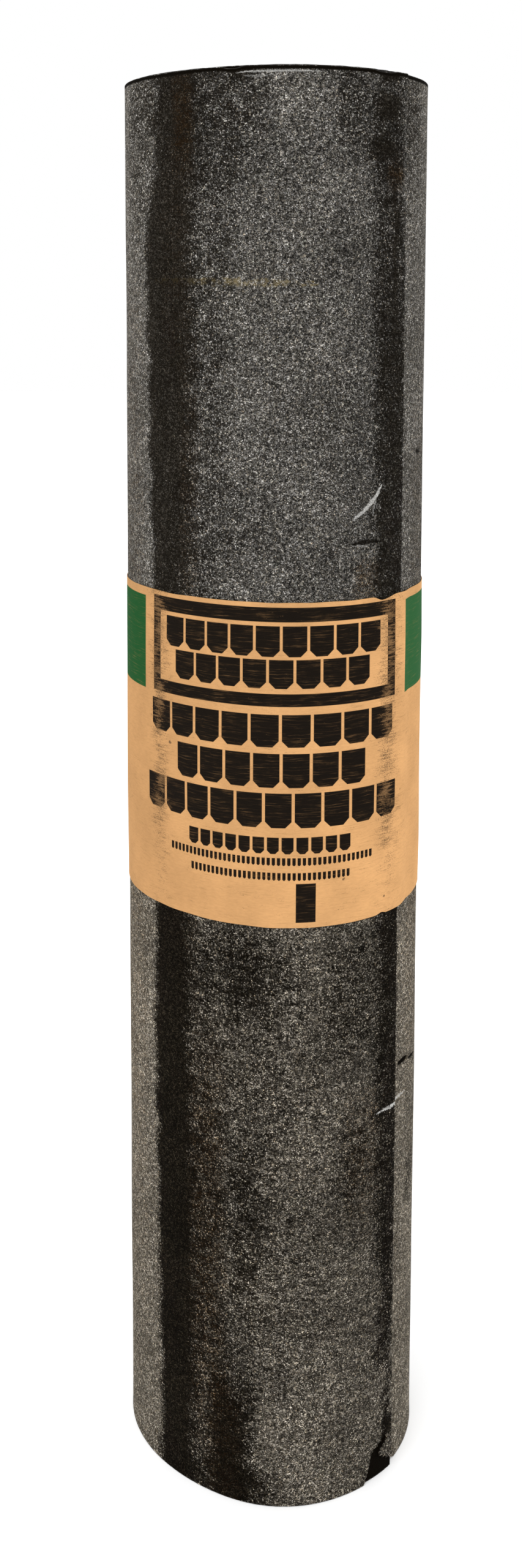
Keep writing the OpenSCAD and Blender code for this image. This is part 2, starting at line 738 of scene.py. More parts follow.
    def soft(self, azimuth: Array, height: Array) -> Array:
        """How far the whole sheet stands out: shallow ripples, and a slight flare at the two ends.

        The ripples never go inwards, so that the turns below stay clear.

        Args:
            azimuth: Azimuths of the places.
            height: Heights of the places.

        Returns:
            The distance outwards.
        """
        ripple = self.ripple_size * (1.0 + np.clip(self.ripples.at(azimuth, height), -1.0, 1.0))
        ends = np.exp(-height / self.flare_reach) + np.exp((height - self.width) / self.flare_reach)
        return ripple + self.flare * ends

    def recess(self, azimuth: Array, height: Array) -> Array:
        """How far the coating lies below the sound surface, in the tear and the cracks.

        Args:
            azimuth: Azimuths of the places.
            height: Heights of the places.

        Returns:
            The depth.
        """
        depth = self.tear.depth * self.tear.mask(azimuth, height)
        for crack in self.cracks:
            depth = np.maximum(depth, crack.recess(azimuth, height))
        return depth

    def top_loss(self, azimuth: Array) -> Array:
        """How far the top edge is worn down: fine nicks everywhere, and deeper chips."""
        loss = self.top_nick * np.abs(self.nicks.at(azimuth))
        return loss + sum(chip.mask(azimuth, 0.0) for chip in self.chips)

    def bottom_loss(self, azimuth: Array) -> Array:
        """How far the lower edge is worn up, in fine nicks that leave it standing on its high spots."""
        return self.bottom_nick * np.abs(self.nicks.at(azimuth + 77.0))

    def pressed(self, azimuth: Array, height: Array) -> Array:
        """Mask of what is pressed or smeared with asphalt: the strips, the blotches and a film low in front.

        Args:
            azimuth: Azimuths of the places.
            height: Heights of the places.

        Returns:
            The mask.
        """
        low = 1.0 - smoothstep(0.33, 0.48, height)
        left = 1.0 - smoothstep(-10.0, 30.0, azimuth)
        film = self._front(azimuth) * low * (0.13 + 0.20 * left * smoothstep(0.02, 0.15, height))
        azimuth = azimuth + 0.8 * self.wander.at(0.0 * azimuth, height)
        marks = (mark.mask(azimuth, height) for mark in (*self.strips, *self.blotches))
        return self._combined(film, *marks)

    def stain(self, azimuth: Array, height: Array) -> Array:
        """Mask of what is stained brown."""
        return self._combined(*(mark.mask(azimuth, height) for mark in self.stains))

    @staticmethod
    def _combined(*masks: Array) -> Array:
        """One mask of several, as 1 less the product of what each of them leaves clear."""
        return 1.0 - math.prod(1.0 - mask for mask in masks)

    @staticmethod
    def _front(azimuth: Array) -> Array:
        """1 between the outer sides of the two dark strips in front, and 0 a little way past them."""
        return smoothstep(-60.0, -48.0, azimuth) * (1.0 - smoothstep(50.0, 56.0, azimuth))

    def dust(self, azimuth: Array, height: Array) -> Array:
        """Mask of the warm dust on the lower part, which is thinner behind."""
        behind = smoothstep(80.0, 130.0, np.abs(azimuth))
        return (1.0 - smoothstep(0.38, 0.46, height)) * (1.0 - 0.65 * behind)

    def tone(self, azimuth: Array, height: Array) -> Array:
        """Brightness of the granules.

        It is 1 in front, and less in front towards the right, which is painted shade. It is more past the two
        strips and behind, where the granules are clean and pale. On the two sides it is also painted light
        that makes them paler towards the outline. A slow drift goes over all of it.

        Args:
            azimuth: Azimuths of the places.
            height: Heights of the places.

        Returns:
            A factor on the granules' colour.
        """
        front = self._front(azimuth)
        # Paler sides: cleaner granules, plus painted light that makes them paler towards the outline, more on
        # the left.
        pale = np.where(azimuth > 0.0, 1.15, 1.22) + 0.07 * self.dust(azimuth, height)
        behind = smoothstep(90.0, 180.0, np.abs(azimuth))
        pale = pale + (1.17 - pale) * behind
        # Painted shade: darker towards the right of the front.
        painted_shade = 0.22 * smoothstep(10.0, 36.0, azimuth) * front
        sides = pale + (1.0 - pale - painted_shade) * front
        return sides * (1.0 + 0.06 * self.tones.at(azimuth, height))


# ---------------------------------------------------------------- shader nodes


class Wiring:
    """Places nodes in a shader node tree and joins them up."""

    def __init__(self, tree: bpy.types.NodeTree) -> None:
        """Starts on a tree."""
        self.tree = tree

    def node(self, kind: str, feeds: Feeds | None = None, **settings: object) -> bpy.types.Node:
        """Adds a node.

        Args:
            kind: Its type, without the leading ShaderNode.
            feeds: What goes into its sockets, by name or number.
            **settings: Its other properties.

        Returns:
            The node.
        """
        known = kind if kind.startswith("NodeGroup") else f"ShaderNode{kind}"
        node = self.tree.nodes.new(known)
        for label, setting in settings.items():
            setattr(node, label, setting)
        for label, feed in (feeds or {}).items():
            self.feed(node.inputs[label], feed)
        return node

    def feed(self, socket: Socket, value: Feed) -> None:
        """Joins a socket to another one, or sets its value."""
        if isinstance(value, Socket):
            self.tree.links.new(value, socket)
        elif isinstance(socket.default_value, float):
            socket.default_value = value
        else:
            room = len(socket.default_value)
            shown = (value,) * 3 if isinstance(value, float) else value
            socket.default_value = (*shown, 1.0)[:room]

    def math(self, operation: str, *values: Feed, clamp: bool = False) -> Socket:
        """Result of a Math node, kept between 0 and 1 where clamp is set."""
        return self.node("Math", dict(enumerate(values)), operation=operation, use_clamp=clamp).outputs[0]

    def _run(self, operation: str, values: tuple[Feed, ...]) -> Feed:
        """Works on the first two numbers, then on the result and the next one, and so on."""
        return functools.reduce(lambda total, value: self.math(operation, total, value), values)

    def times(self, *values: Feed) -> Feed:
        """Product of the numbers."""
        return self._run("MULTIPLY", values)

    def plus(self, *values: Feed) -> Feed:
        """Sum of the numbers."""
        return self._run("ADD", values)

    def weighed(self, values: tuple[Feed, ...], weights: tuple[float, ...]) -> Feed:
        """Sum of the numbers, each times its weight."""
        return self.plus(*(self.times(value, weight) for value, weight in zip(values, weights, strict=True)))

    def most(self, *values: Feed) -> Feed:
        """Greatest of the numbers."""
        return self._run("MAXIMUM", values)

    def minus(self, first: Feed, second: Feed) -> Feed:
        """First number less the second."""
        return self.math("SUBTRACT", first, second)

    def over(self, first: Feed, second: Feed) -> Feed:
        """First number over the second."""
        return self.math("DIVIDE", first, second)

    def held(self, value: Feed) -> Feed:
        """The number, kept between 0 and 1."""
        return self.math("ADD", value, 0.0, clamp=True)

    def vector(self, operation: str, *values: Feed, scale: Feed | None = None) -> Socket:
        """Result of a Vector Math node.

        Args:
            operation: Its operation.
            *values: What it works on.
            scale: What it scales by, for that operation.

        Returns:
            The result's socket, which is a number for a dot product or a length.
        """
        feeds: Feeds = dict(enumerate(values))
        if scale is not None:
            feeds["Scale"] = scale
        node = self.node("VectorMath", feeds, operation=operation)
        return node.outputs["Value" if operation in {"DOT_PRODUCT", "LENGTH"} else "Vector"]

    def split(self, vector: Feed) -> tuple[Socket, ...]:
        """The three parts of a vector or colour."""
        return tuple(self.node("SeparateXYZ", {0: vector}).outputs)

    def mix(self, share: Feed, first: Feed, second: Feed, blend: str = "MIX") -> Socket:
        """Mixes two colours.

        Args:
            share: How much of the second one shows.
            first: The first colour.
            second: The second colour.
            blend: How the second goes over the first.

        Returns:
            The mixed colour's socket.
        """
        node = self.node("Mix", data_type="RGBA", blend_type=blend)
        for place, value in ((0, share), (6, first), (7, second)):
            self.feed(node.inputs[place], value)
        return node.outputs[2]

    def tinted(self, colour: Feed, factor: Feed) -> Socket:
        """A colour times a number or another colour."""
        return self.mix(1.0, colour, factor, "MULTIPLY")

    def blend(self, share: Feed, first: Feed, second: Feed) -> Socket:
        """Mixes two numbers: the first where the share is 0 and the second where it is 1."""
        return self.node("Mix", {0: share, 2: first, 3: second}, data_type="FLOAT").outputs[0]

    def noise(
        self, vector: Feed, scale: Feed, detail: float = 2.0, rough: float = 0.5, part: int | str = 0
    ) -> Socket:
        """Smooth random values: numbers from 0 to 1, or three of them at a time where the part is "Color"."""
        feeds = {"Vector": vector, "Scale": scale, "Detail": detail, "Roughness": rough}
        return self.node("TexNoise", feeds, noise_dimensions="3D").outputs[part]

    def jitter(
        self, vector: Feed, scale: Feed, reach: Feed, detail: float = 2.0, rough: float = 0.5
    ) -> Socket:
        """A shift every way by a noise, with a size of up to half the reach."""
        noise = self.noise(vector, scale, detail, rough, "Color")
        return self.vector("SCALE", self.vector("SUBTRACT", noise, (0.5, 0.5, 0.5)), scale=reach)

    def remap(self, value: Feed, low: Feed, high: Feed, start: Feed = 0.0, end: Feed = 1.0) -> Socket:
        """Eases a number from start at low to end at high, and keeps it level past them."""
        feeds = {"Value": value, "From Min": low, "From Max": high, "To Min": start, "To Max": end}
        return self.node("MapRange", feeds, interpolation_type="SMOOTHSTEP").outputs[0]

    def ramp(self, value: Feed, stops: tuple[tuple[float, Feed], ...]) -> Socket:
        """Looks a colour up in a ramp.

        Args:
            value: Where to look.
            stops: Place and colour of each stop, or its grey level.

        Returns:
            The colour's socket.
        """
        node = self.node("ValToRGB", {0: value})
        for _ in range(len(stops) - 2):
            node.color_ramp.elements.new(0.5)
        for element, (where, colour) in zip(node.color_ramp.elements, stops, strict=True):
            element.position = where
            element.color = (*((colour,) * 3 if isinstance(colour, float) else colour), 1.0)
        return node.outputs[0]


FLOAT, VECTOR, COLOUR = "NodeSocketFloat", "NodeSocketVector", "NodeSocketColor"
ORIGIN = (VECTOR, (0.0, 0.0, 0.0))


class Effect:
    """A surface effect that is one node group, made once and placed in each material with its own values.

    Attributes:
        takes: Type and usual value of each input, by name.
        gives: Type of each output, by name.
    """

    takes: ClassVar[dict[str, tuple[str, Feed]]] = {}
    gives: ClassVar[dict[str, str]] = {}

    @classmethod
    def group(cls) -> bpy.types.NodeTree:
        """Returns the effect's node group, and makes it the first time."""
        if cls.__name__ in bpy.data.node_groups:
            return bpy.data.node_groups[cls.__name__]
        tree = bpy.data.node_groups.new(cls.__name__, "ShaderNodeTree")
        for label, (kind, value) in cls.takes.items():
            tree.interface.new_socket(label, in_out="INPUT", socket_type=kind).default_value = value
        for label, kind in cls.gives.items():
            tree.interface.new_socket(label, in_out="OUTPUT", socket_type=kind)
        wiring = Wiring(tree)
        given = wiring.node("NodeGroupInput").outputs
        wiring.node("NodeGroupOutput", cls.wire(wiring, given))
        return tree

    @classmethod
    def wire(cls, wiring: Wiring, given: Outputs) -> Feeds:
        """Lays the group's nodes.

        Args:
            wiring: The group's wiring.
            given: The group's inputs, as sockets to read.

        Returns:
            What goes out, by name.
        """
        raise NotImplementedError

    @classmethod
    def put(cls, wiring: Wiring, **feeds: Feed) -> Outputs:
        """Places the group in a tree.

        Args:
            wiring: The tree's wiring.
            **feeds: What goes into its inputs, by name.

        Returns:
            The node's outputs.
        """
        node = wiring.node("Group", node_tree=cls.group())
        for label, feed in feeds.items():
            wiring.feed(node.inputs[label], feed)
        return node.outputs


GRANULE_SHADES = (
    (0.0, 0.011), (0.26, 0.026), (0.44, 0.076), (0.65, 0.174), (0.84, 0.285), (0.95, 0.39), (1.0, 0.51),
)
GRANULE_HUES = (
    (0.0, (0.93, 0.885, 0.815)),
    (0.5, (0.93, 0.90, 0.86)),
    (0.78, (0.95, 0.84, 0.69)),
    (0.9, (0.90, 0.92, 0.80)),
    (1.0, (0.96, 0.78, 0.57)),
)
GAP_SHADES = ((0.0, (0.006, 0.005, 0.004)), (0.55, (0.020, 0.018, 0.015)), (1.0, (0.24, 0.22, 0.19)))


class Granules(Effect):
    """Crushed slate granules that lie close together, each with a colour and a tilted top, and dark gaps."""

    takes: ClassVar = {"Vector": ORIGIN, "Size": (FLOAT, 1.3 * MM)}
    gives: ClassVar = {"Color": COLOUR, "Height": FLOAT, "Pick": FLOAT}

    @classmethod
    def wire(cls, wiring: Wiring, given: Outputs) -> Feeds:
        """Lays a Voronoi pattern whose cells pick their shade at random, on coordinates bent by a noise."""
        scale = wiring.over(1.0, given["Size"])
        bend = wiring.jitter(given["Vector"], wiring.times(scale, 0.45), wiring.times(given["Size"], 0.9))
        bent = wiring.vector("ADD", given["Vector"], bend)
        coarse = wiring.node("TexVoronoi", {"Vector": bent, "Scale": scale})
        fine = wiring.node("TexVoronoi", {"Vector": bent, "Scale": wiring.times(scale, 2.3)})
        shade, tint, pick = wiring.split(coarse.outputs["Color"])
        shade = wiring.ramp(shade, GRANULE_SHADES)
        hue = wiring.ramp(tint, GRANULE_HUES)
        drifts = wiring.noise(given["Vector"], wiring.times(scale, 0.36), 1.5)
        hue = wiring.tinted(hue, wiring.remap(drifts, 0.28, 0.72, 0.30, 1.74))
        colour = wiring.tinted(shade, hue)
        fine_shade, _, _ = wiring.split(fine.outputs["Color"])
        dust = wiring.ramp(fine_shade, GAP_SHADES)
        gap = wiring.remap(coarse.outputs["Distance"], 0.46, 0.66)
        away = wiring.vector("SUBTRACT", bent, coarse.outputs["Position"])
        lean = wiring.vector("SUBTRACT", coarse.outputs["Color"], (0.5, 0.5, 0.5))
        tilt = wiring.times(wiring.vector("DOT_PRODUCT", away, lean), wiring.times(scale, 1.3))
        dome = wiring.remap(coarse.outputs["Distance"], 0.15, 0.8, 1.0, 0.0)
        grain = wiring.times(fine.outputs["Distance"], -0.35)
        pick = wiring.blend(gap, pick, fine_shade)
        height = wiring.plus(dome, tilt, grain)
        return {"Color": wiring.mix(gap, colour, dust), "Height": height, "Pick": pick}


class Ragged(Effect):
    """Breaks a soft mask up into patches, where it is neither 0 nor 1."""

    takes: ClassVar = {
        "Mask": (FLOAT, 0.0),
        "Vector": ORIGIN,
        "Size": (FLOAT, 8.0 * MM),
        "Amount": (FLOAT, 1.0),
    }
    gives: ClassVar = {"Mask": FLOAT}

    @classmethod
    def wire(cls, wiring: Wiring, given: Outputs) -> Feeds:
        """Adds two sizes of noise times 4m(1 - m) to the mask m, and keeps the sum between 0 and 1."""
        scale = wiring.over(1.0, given["Size"])
        broad = wiring.noise(given["Vector"], scale, 3.0, 0.6)
        close = wiring.noise(given["Vector"], wiring.times(scale, 5.0), 2.0, 0.6)
        both = wiring.plus(wiring.times(broad, 1.5), wiring.times(close, 1.5))
        both = wiring.times(wiring.minus(both, 1.5), given["Amount"])
        reach = wiring.times(given["Mask"], wiring.minus(1.0, given["Mask"]), 4.0)
        rough = wiring.math("MULTIPLY_ADD", both, reach, given["Mask"])
        return {"Mask": wiring.held(rough)}


class Stroke(Effect):
    """A scratch or crease on a bowed line between two points, thin at its ends and frayed along its sides."""

    takes: ClassVar = {
        "Vector": ORIGIN,
        "Start": ORIGIN,
        "End": (VECTOR, (1.0, 0.0, 0.0)),
        "Width": (FLOAT, 1.0 * MM),
        "Fray": (FLOAT, 1.0 * MM),
        "Bow": (FLOAT, 0.0),
    }
    gives: ClassVar = {"Mask": FLOAT}

    @classmethod
    def wire(cls, wiring: Wiring, given: Outputs) -> Feeds:
        """Measures how far a place lies along the line and beside it, after a noise has shifted it."""
        spot = wiring.vector("SUBTRACT", given["Vector"], given["Start"])
        fray = wiring.jitter(given["Vector"], 420.0, wiring.times(given["Fray"], 2.5), 3.0, 0.65)
        spot = wiring.vector("ADD", spot, fray)
        line = wiring.vector("SUBTRACT", given["End"], given["Start"])
        length = wiring.vector("LENGTH", line)
        along = wiring.over(wiring.vector("DOT_PRODUCT", spot, line), wiring.times(length, length))
        line_x, line_y, _ = wiring.split(line)
        spot_x, spot_y, _ = wiring.split(spot)
        cross = wiring.minus(wiring.times(line_x, spot_y), wiring.times(line_y, spot_x))
        beside = wiring.over(cross, length)
        held = wiring.held(along)
        arch = wiring.times(held, wiring.minus(1.0, held), 4.0)
        beside = wiring.math("ABSOLUTE", wiring.minus(beside, wiring.times(arch, given["Bow"])))
        half = wiring.times(wiring.math("SQRT", arch), wiring.times(given["Width"], 0.5))
        share = wiring.over(beside, wiring.most(half, 0.00005))
        within = wiring.math("GREATER_THAN", arch, 0.0)
        return {"Mask": wiring.times(wiring.remap(share, 0.6, 1.3, 1.0, 0.0), within)}


class Fibres(Effect):
    """Fine drawn-out streaks that follow one direction, as in paper, felt and scuffs."""

    takes: ClassVar = {
        "Vector": ORIGIN,
        "Stretch": (VECTOR, (60.0, 900.0, 60.0)),
        "Contrast": (FLOAT, 1.0),
    }
    gives: ClassVar = {"Value": FLOAT}

    @classmethod
    def wire(cls, wiring: Wiring, given: Outputs) -> Feeds:
        """Reads a noise on coordinates that are scaled differently each way, round a middle of a half."""
        drawn = wiring.vector("MULTIPLY", given["Vector"], given["Stretch"])
        value = wiring.noise(drawn, 1.0, 4.0, 0.62)
        value = wiring.times(wiring.minus(value, 0.5), given["Contrast"])
        return {"Value": wiring.held(wiring.plus(value, 0.5))}


class Specks(Effect):
    """Scattered small specks of odd sizes."""

    takes: ClassVar = {
        "Vector": ORIGIN,
        "Spacing": (FLOAT, 12.0 * MM),
        "Size": (FLOAT, 0.1),
    }
    gives: ClassVar = {"Mask": FLOAT}

    @classmethod
    def wire(cls, wiring: Wiring, given: Outputs) -> Feeds:
        """Keeps the middles of Voronoi cells, each as large as the cube of a random number lets it be."""
        scale = wiring.over(1.0, given["Spacing"])
        bend = wiring.noise(given["Vector"], wiring.times(scale, 6.0), 2.0, part="Color")
        bend = wiring.vector("SCALE", bend, scale=wiring.times(given["Spacing"], 0.16))
        bent = wiring.vector("ADD", given["Vector"], bend)
        cells = wiring.node("TexVoronoi", {"Vector": bent, "Scale": scale})
        pick, _, _ = wiring.split(cells.outputs["Color"])
        reach = wiring.times(wiring.math("POWER", pick, 3.0), given["Size"])
        edge = wiring.times(reach, 1.4)
        edge = wiring.plus(edge, 0.0005)
        return {"Mask": wiring.remap(cells.outputs["Distance"], reach, edge, 1.0, 0.0)}


class Panel(Effect):
    """A rectangle between two corners, or a course of slates in it whose lower corners are clipped."""

    takes: ClassVar = {
        "Vector": ORIGIN,
        "Low": ORIGIN,
        "High": (VECTOR, (1.0, 1.0, 0.0)),
        "Step": (FLOAT, 1.0),
        "Gap": (FLOAT, 0.0),
        "Clip": (FLOAT, 0.0),
    }
    gives: ClassVar = {"Mask": FLOAT}

    @classmethod
    def wire(cls, wiring: Wiring, given: Outputs) -> Feeds:
        """Takes the greatest of the distances past each side, for the whole and for the cell."""
        x, y, _ = wiring.split(given["Vector"])
        low_x, low_y, _ = wiring.split(given["Low"])
        high_x, high_y, _ = wiring.split(given["High"])
        past_x = wiring.most(wiring.minus(low_x, x), wiring.minus(x, high_x))
        below = wiring.minus(low_y, y)
        past_y = wiring.most(below, wiring.minus(y, high_y))
        cell = wiring.math("FRACT", wiring.over(wiring.minus(x, low_x), given["Step"]))
        aside = wiring.times(wiring.math("ABSOLUTE", wiring.minus(cell, 0.5)), given["Step"])
        half = wiring.times(wiring.minus(given["Step"], given["Gap"]), 0.5)
        past_cell = wiring.minus(aside, half)
        corner = wiring.plus(past_cell, below, given["Clip"])
        past = wiring.most(past_x, past_y, past_cell, wiring.times(corner, 0.707))
        return {"Mask": wiring.remap(past, -0.00015, 0.00015, 1.0, 0.0)}


# ---------------------------------------------------------------- finishes


class Surface:
    """A material under way.

    Attributes:
        material: The material.
        wiring: Its wiring.
        shader: Its Principled BSDF.
    """

    def __init__(self, name: str, gloss: float) -> None:
        """Makes an empty material with its surface shader.

        Args:
            name: Name of the material.
            gloss: How strongly it reflects, where 0.5 is a usual plastic.
        """
        self.material = bpy.data.materials.new(name)
        self.material.use_nodes = True
        self.material.node_tree.nodes.clear()
        self.wiring = Wiring(self.material.node_tree)
        self.shader = self.wiring.node("BsdfPrincipled", {"Specular IOR Level": gloss})
        self.wiring.node("OutputMaterial", {"Surface": self.shader.outputs[0]})

    def here(self) -> Feed:
        """The place on the object."""
        return self.wiring.node("TexCoord").outputs["Object"]

    def wrap(self) -> Feed:
        """The place round the roll and up it, both as lengths."""
        return self.wiring.node("UVMap", uv_map=WRAP_MAP).outputs[0]

    def value(self, name: str) -> Feed:
        """One of the values that the mesh carries."""
        return self.wiring.node("Attribute", attribute_name=name, attribute_type="GEOMETRY").outputs["Fac"]

    def finish(self, colour: Feed, roughness: Feed, relief: Feed, strength: float, depth: float) -> Material:
        """Joins what the patterns give to the shader.

        Args:
            colour: The base colour.
            roughness: The roughness.
            relief: The height of the fine relief.
            strength: How strongly the relief shows.
            depth: How deep the relief is.

        Returns:
            The material.
        """
        bump = self.wiring.node("Bump", {"Height": relief, "Strength": strength, "Distance": depth})
        self.wiring.feed(self.shader.inputs["Base Color"], colour)
        self.wiring.feed(self.shader.inputs["Roughness"], roughness)
        self.wiring.feed(self.shader.inputs["Normal"], bump.outputs[0])
        return self.material


@dataclass(frozen=True)
class Scratch:
    """A thin mark on the felt's face.

    Attributes:
        start: Azimuth and height of one end.
        end: Azimuth and height of the other end.
        width: Width in the middle.
        bow: How far its middle stands off the straight line.
        fray: How far its sides wander.
        strength: How much of the mark's colour shows.
    """

    start: Pair
    end: Pair
    width: float
    bow: float = 0.0
    fray: float = 1.2 * MM
    strength: float = 0.9

    def mask(self, wiring: Wiring, wrap: Feed) -> Feed:
        """Wires the scratch's mask.

        Args:
            wiring: The material's wiring.
            wrap: The place round the roll and up it.

        Returns:
            The mask's socket.
        """
        start, end = ((wrapped(azimuth), height, 0.0) for azimuth, height in (self.start, self.end))
        size = {"Width": self.width, "Fray": self.fray, "Bow": self.bow}
        stroke = Stroke.put(wiring, Vector=wrap, Start=start, End=end, **size)
        return wiring.times(stroke["Mask"], self.strength)


@dataclass(frozen=True)
class MineralFace:
    """The felt's outer face: granules rolled into asphalt, dark and flat where they were pressed in.

    Attributes:
        width: Width of the felt.
        granule: Size of a granule.
        asphalt: Colour of the asphalt.
        film: What a film of asphalt leaves of the granules' colour.
        low_film: What the lower part of the roll leaves of that, where the film is thicker.
        low_hue: What the lower part of the roll has over the upper one, where more dust has settled.
        brown: What a brown stain leaves of the colour under it.
        rust: What a brown stain adds to it.
        chalk: Colour of the scratches, where the granules are crushed.
        powder: Colour of the crushed powder that veils the palest parts.
        yellow: Colour of the smear.
        rim: How far below the top edge the rubbed rim begins, and from where it is rubbed all through.
        picky: How strongly a mark takes in some granules and leaves others, where 0 is evenly.
        smear: The yellowish smear.
        pale: The light scratches.
        dark: The dark creases.
    """

    width: float
    granule: float = 0.70 * MM
    asphalt: Triple = (0.0034, 0.0024, 0.0013)
    film: Triple = (0.094, 0.087, 0.078)
    low_film: Triple = (0.38, 0.35, 0.29)
    low_hue: Triple = (1.17, 1.10, 0.99)
    brown: Triple = (0.60, 0.47, 0.33)
    rust: Triple = (0.0068, 0.0028, 0.0007)
    chalk: Triple = (0.62, 0.61, 0.58)
    powder: Triple = (0.148, 0.130, 0.104)
    yellow: Triple = (0.26, 0.20, 0.09)
    rim: Pair = (3.2 * MM, 2.0 * MM)
    picky: float = 2.6
    smear: Scratch = Scratch((-54.0, 0.7890), (16.0, 0.7868), 4.6 * MM, fray=3.4 * MM, strength=0.5)
    pale: tuple[Scratch, ...] = (
        Scratch((49.0, 0.2562), (57.5, 0.2560), 2.2 * MM, fray=1.0 * MM, strength=1.0),
        Scratch((41.5, 0.2558), (62.5, 0.2560), 2.2 * MM, fray=2.4 * MM, strength=0.85),
        Scratch((27.7, 0.6440), (40.7, 0.6645), 2.5 * MM, bow=-2.2 * MM, fray=1.3 * MM, strength=0.92),
        Scratch((36.5, 0.6455), (40.0, 0.6630), 1.3 * MM, bow=1.0 * MM, fray=1.2 * MM, strength=0.35),
        Scratch((27.0, 0.6285), (34.5, 0.6265), 1.2 * MM, fray=1.4 * MM, strength=0.25),
        Scratch((-16.0, 0.9106), (15.0, 0.9108), 1.3 * MM, fray=0.8 * MM, strength=0.62),
        Scratch((-13.0, 0.9082), (-3.0, 0.9080), 1.4 * MM, fray=1.4 * MM, strength=0.25),
    )
    dark: tuple[Scratch, ...] = (
        Scratch((27.3, 0.6287), (40.3, 0.6293), 3.3 * MM, bow=0.7 * MM, fray=1.1 * MM),
        Scratch((46.0, 0.0225), (50.0, 0.0530), 2.0 * MM, bow=1.0 * MM, fray=1.4 * MM, strength=0.85),
        Scratch((34.0, 0.2140), (35.6, 0.2215), 1.4 * MM, fray=1.0 * MM, strength=0.8),
        Scratch((40.5, 0.7560), (50.5, 0.7565), 1.6 * MM, fray=1.5 * MM, strength=0.4),
        Scratch((40.0, 0.8370), (50.0, 0.8372), 2.2 * MM, fray=1.8 * MM, strength=0.6),
    )

    def material(self) -> Material:
        """Makes the material."""
        surface = Surface("mineral_face", 0.012)
        wiring, here, wrap = surface.wiring, surface.here(), surface.wrap()
        _, height, _ = wiring.split(wrap)
        granules = Granules.put(wiring, Vector=here, Size=self.granule)

        # The granules' colour, uneven from place to place.
        patchy = wiring.noise(here, 26.0, 4.0, 0.62)
        broad = wiring.noise(here, 7.0, 2.0, 0.5)
        clumps = wiring.noise(here, 210.0, 2.0, 0.6)
        level = wiring.times(
            wiring.remap(patchy, 0.25, 0.75, 0.80, 1.20),
            wiring.remap(broad, 0.3, 0.7, 0.90, 1.10),
            wiring.remap(clumps, 0.25, 0.75, 0.74, 1.28),
        )
        # The tone holds the granules' own brightness and painted light: paler sides towards the outline, and
        # painted shade on the right of the front.
        tone = surface.value("tone")
        colour = wiring.tinted(granules["Color"], wiring.times(level, tone))
        colour = wiring.mix(wiring.remap(tone, 1.02, 1.20, 0.0, 0.10), colour, self.powder)
        dusty = surface.value("dust")
        colour = wiring.mix(dusty, colour, wiring.tinted(colour, self.low_hue))

        # The stains and the smear, on patterns that are drawn out round the roll.
        drawn = wiring.vector("MULTIPLY", wrap, (0.7, 1.25, 1.0))
        stain = Ragged.put(wiring, Mask=surface.value("stain"), Vector=drawn, Size=7.0 * MM)["Mask"]
        stain = self._stipple(wiring, stain, granules["Height"])
        colour = wiring.mix(stain, colour, wiring.tinted(colour, self.brown))
        smeared = wiring.times(self.smear.mask(wiring, wrap), wiring.remap(clumps, 0.40, 0.62))
        colour = wiring.mix(smeared, colour, self.yellow)

        # The pressed strips, with a film of asphalt over the granules.
        strips = {"Mask": surface.value("pressed"), "Size": 7.5 * MM, "Amount": 1.1}
        pressed = Ragged.put(wiring, Vector=drawn, **strips)["Mask"]
        bare = wiring.times(self._stipple(wiring, pressed, granules["Pick"]), 0.985)
        bare_colour = wiring.mix(1.0, wiring.tinted(colour, self.film), self.asphalt, "ADD")
        bare_colour = wiring.mix(dusty, bare_colour, wiring.tinted(bare_colour, self.low_film))
        colour = wiring.mix(bare, colour, bare_colour)
        colour = wiring.mix(wiring.times(stain, 0.9), colour, wiring.mix(1.0, colour, self.rust, "ADD"))

        # The scratches, and where the coating is broken or rubbed off.
        crumbled = wiring.remap(wiring.remap(granules["Height"], 0.1, 0.75), 0.0, 1.0, 0.55, 1.0)
        pale = wiring.times(self._together(wiring, wrap, self.pale), crumbled)
        colour = wiring.mix(pale, colour, self.chalk)
        broken = wiring.remap(surface.value("broken"), 0.12, 0.4)
        rim = wiring.remap(height, *(self.width - down for down in self.rim))
        gone = wiring.most(broken, rim, self._together(wiring, wrap, self.dark))
        colour = wiring.mix(gone, colour, self.asphalt)

        # The relief, flatter where the granules are pressed in or gone.
        flat = wiring.most(bare, gone)
        relief = wiring.times(granules["Height"], wiring.remap(flat, 0.0, 1.0, 1.0, 0.28))
        creases = Fibres.put(wiring, Vector=wrap, Stretch=(60.0, 420.0, 1.0), Contrast=1.4)["Value"]
        relief = wiring.plus(relief, wiring.times(creases, flat, 0.9))
        roughness = wiring.remap(flat, 0.0, 1.0, 0.92, 0.78)
        return surface.finish(colour, roughness, relief, 0.9, 0.42 * MM)

    def _stipple(self, wiring: Wiring, mask: Feed, pick: Feed) -> Feed:
        """Makes a soft mask take in some granules and leave others: m + picky m(1 - m)(2p - 1), then eased.

        Args:
            wiring: The material's wiring.
            mask: The soft mask m.
            pick: The granule's number p, from 0 to 1.

        Returns:
            The mask's socket.
        """
        reach = wiring.times(mask, wiring.minus(1.0, mask))
        swing = wiring.times(wiring.math("MULTIPLY_ADD", pick, 2.0, -1.0), self.picky)
        return wiring.remap(wiring.math("MULTIPLY_ADD", reach, swing, mask), 0.1, 0.9)

    @staticmethod
    def _together(wiring: Wiring, wrap: Feed, marks: tuple[Scratch, ...]) -> Feed:
        """Wires the greatest of several scratches' masks."""
        return wiring.most(*(mark.mask(wiring, wrap) for mark in marks))


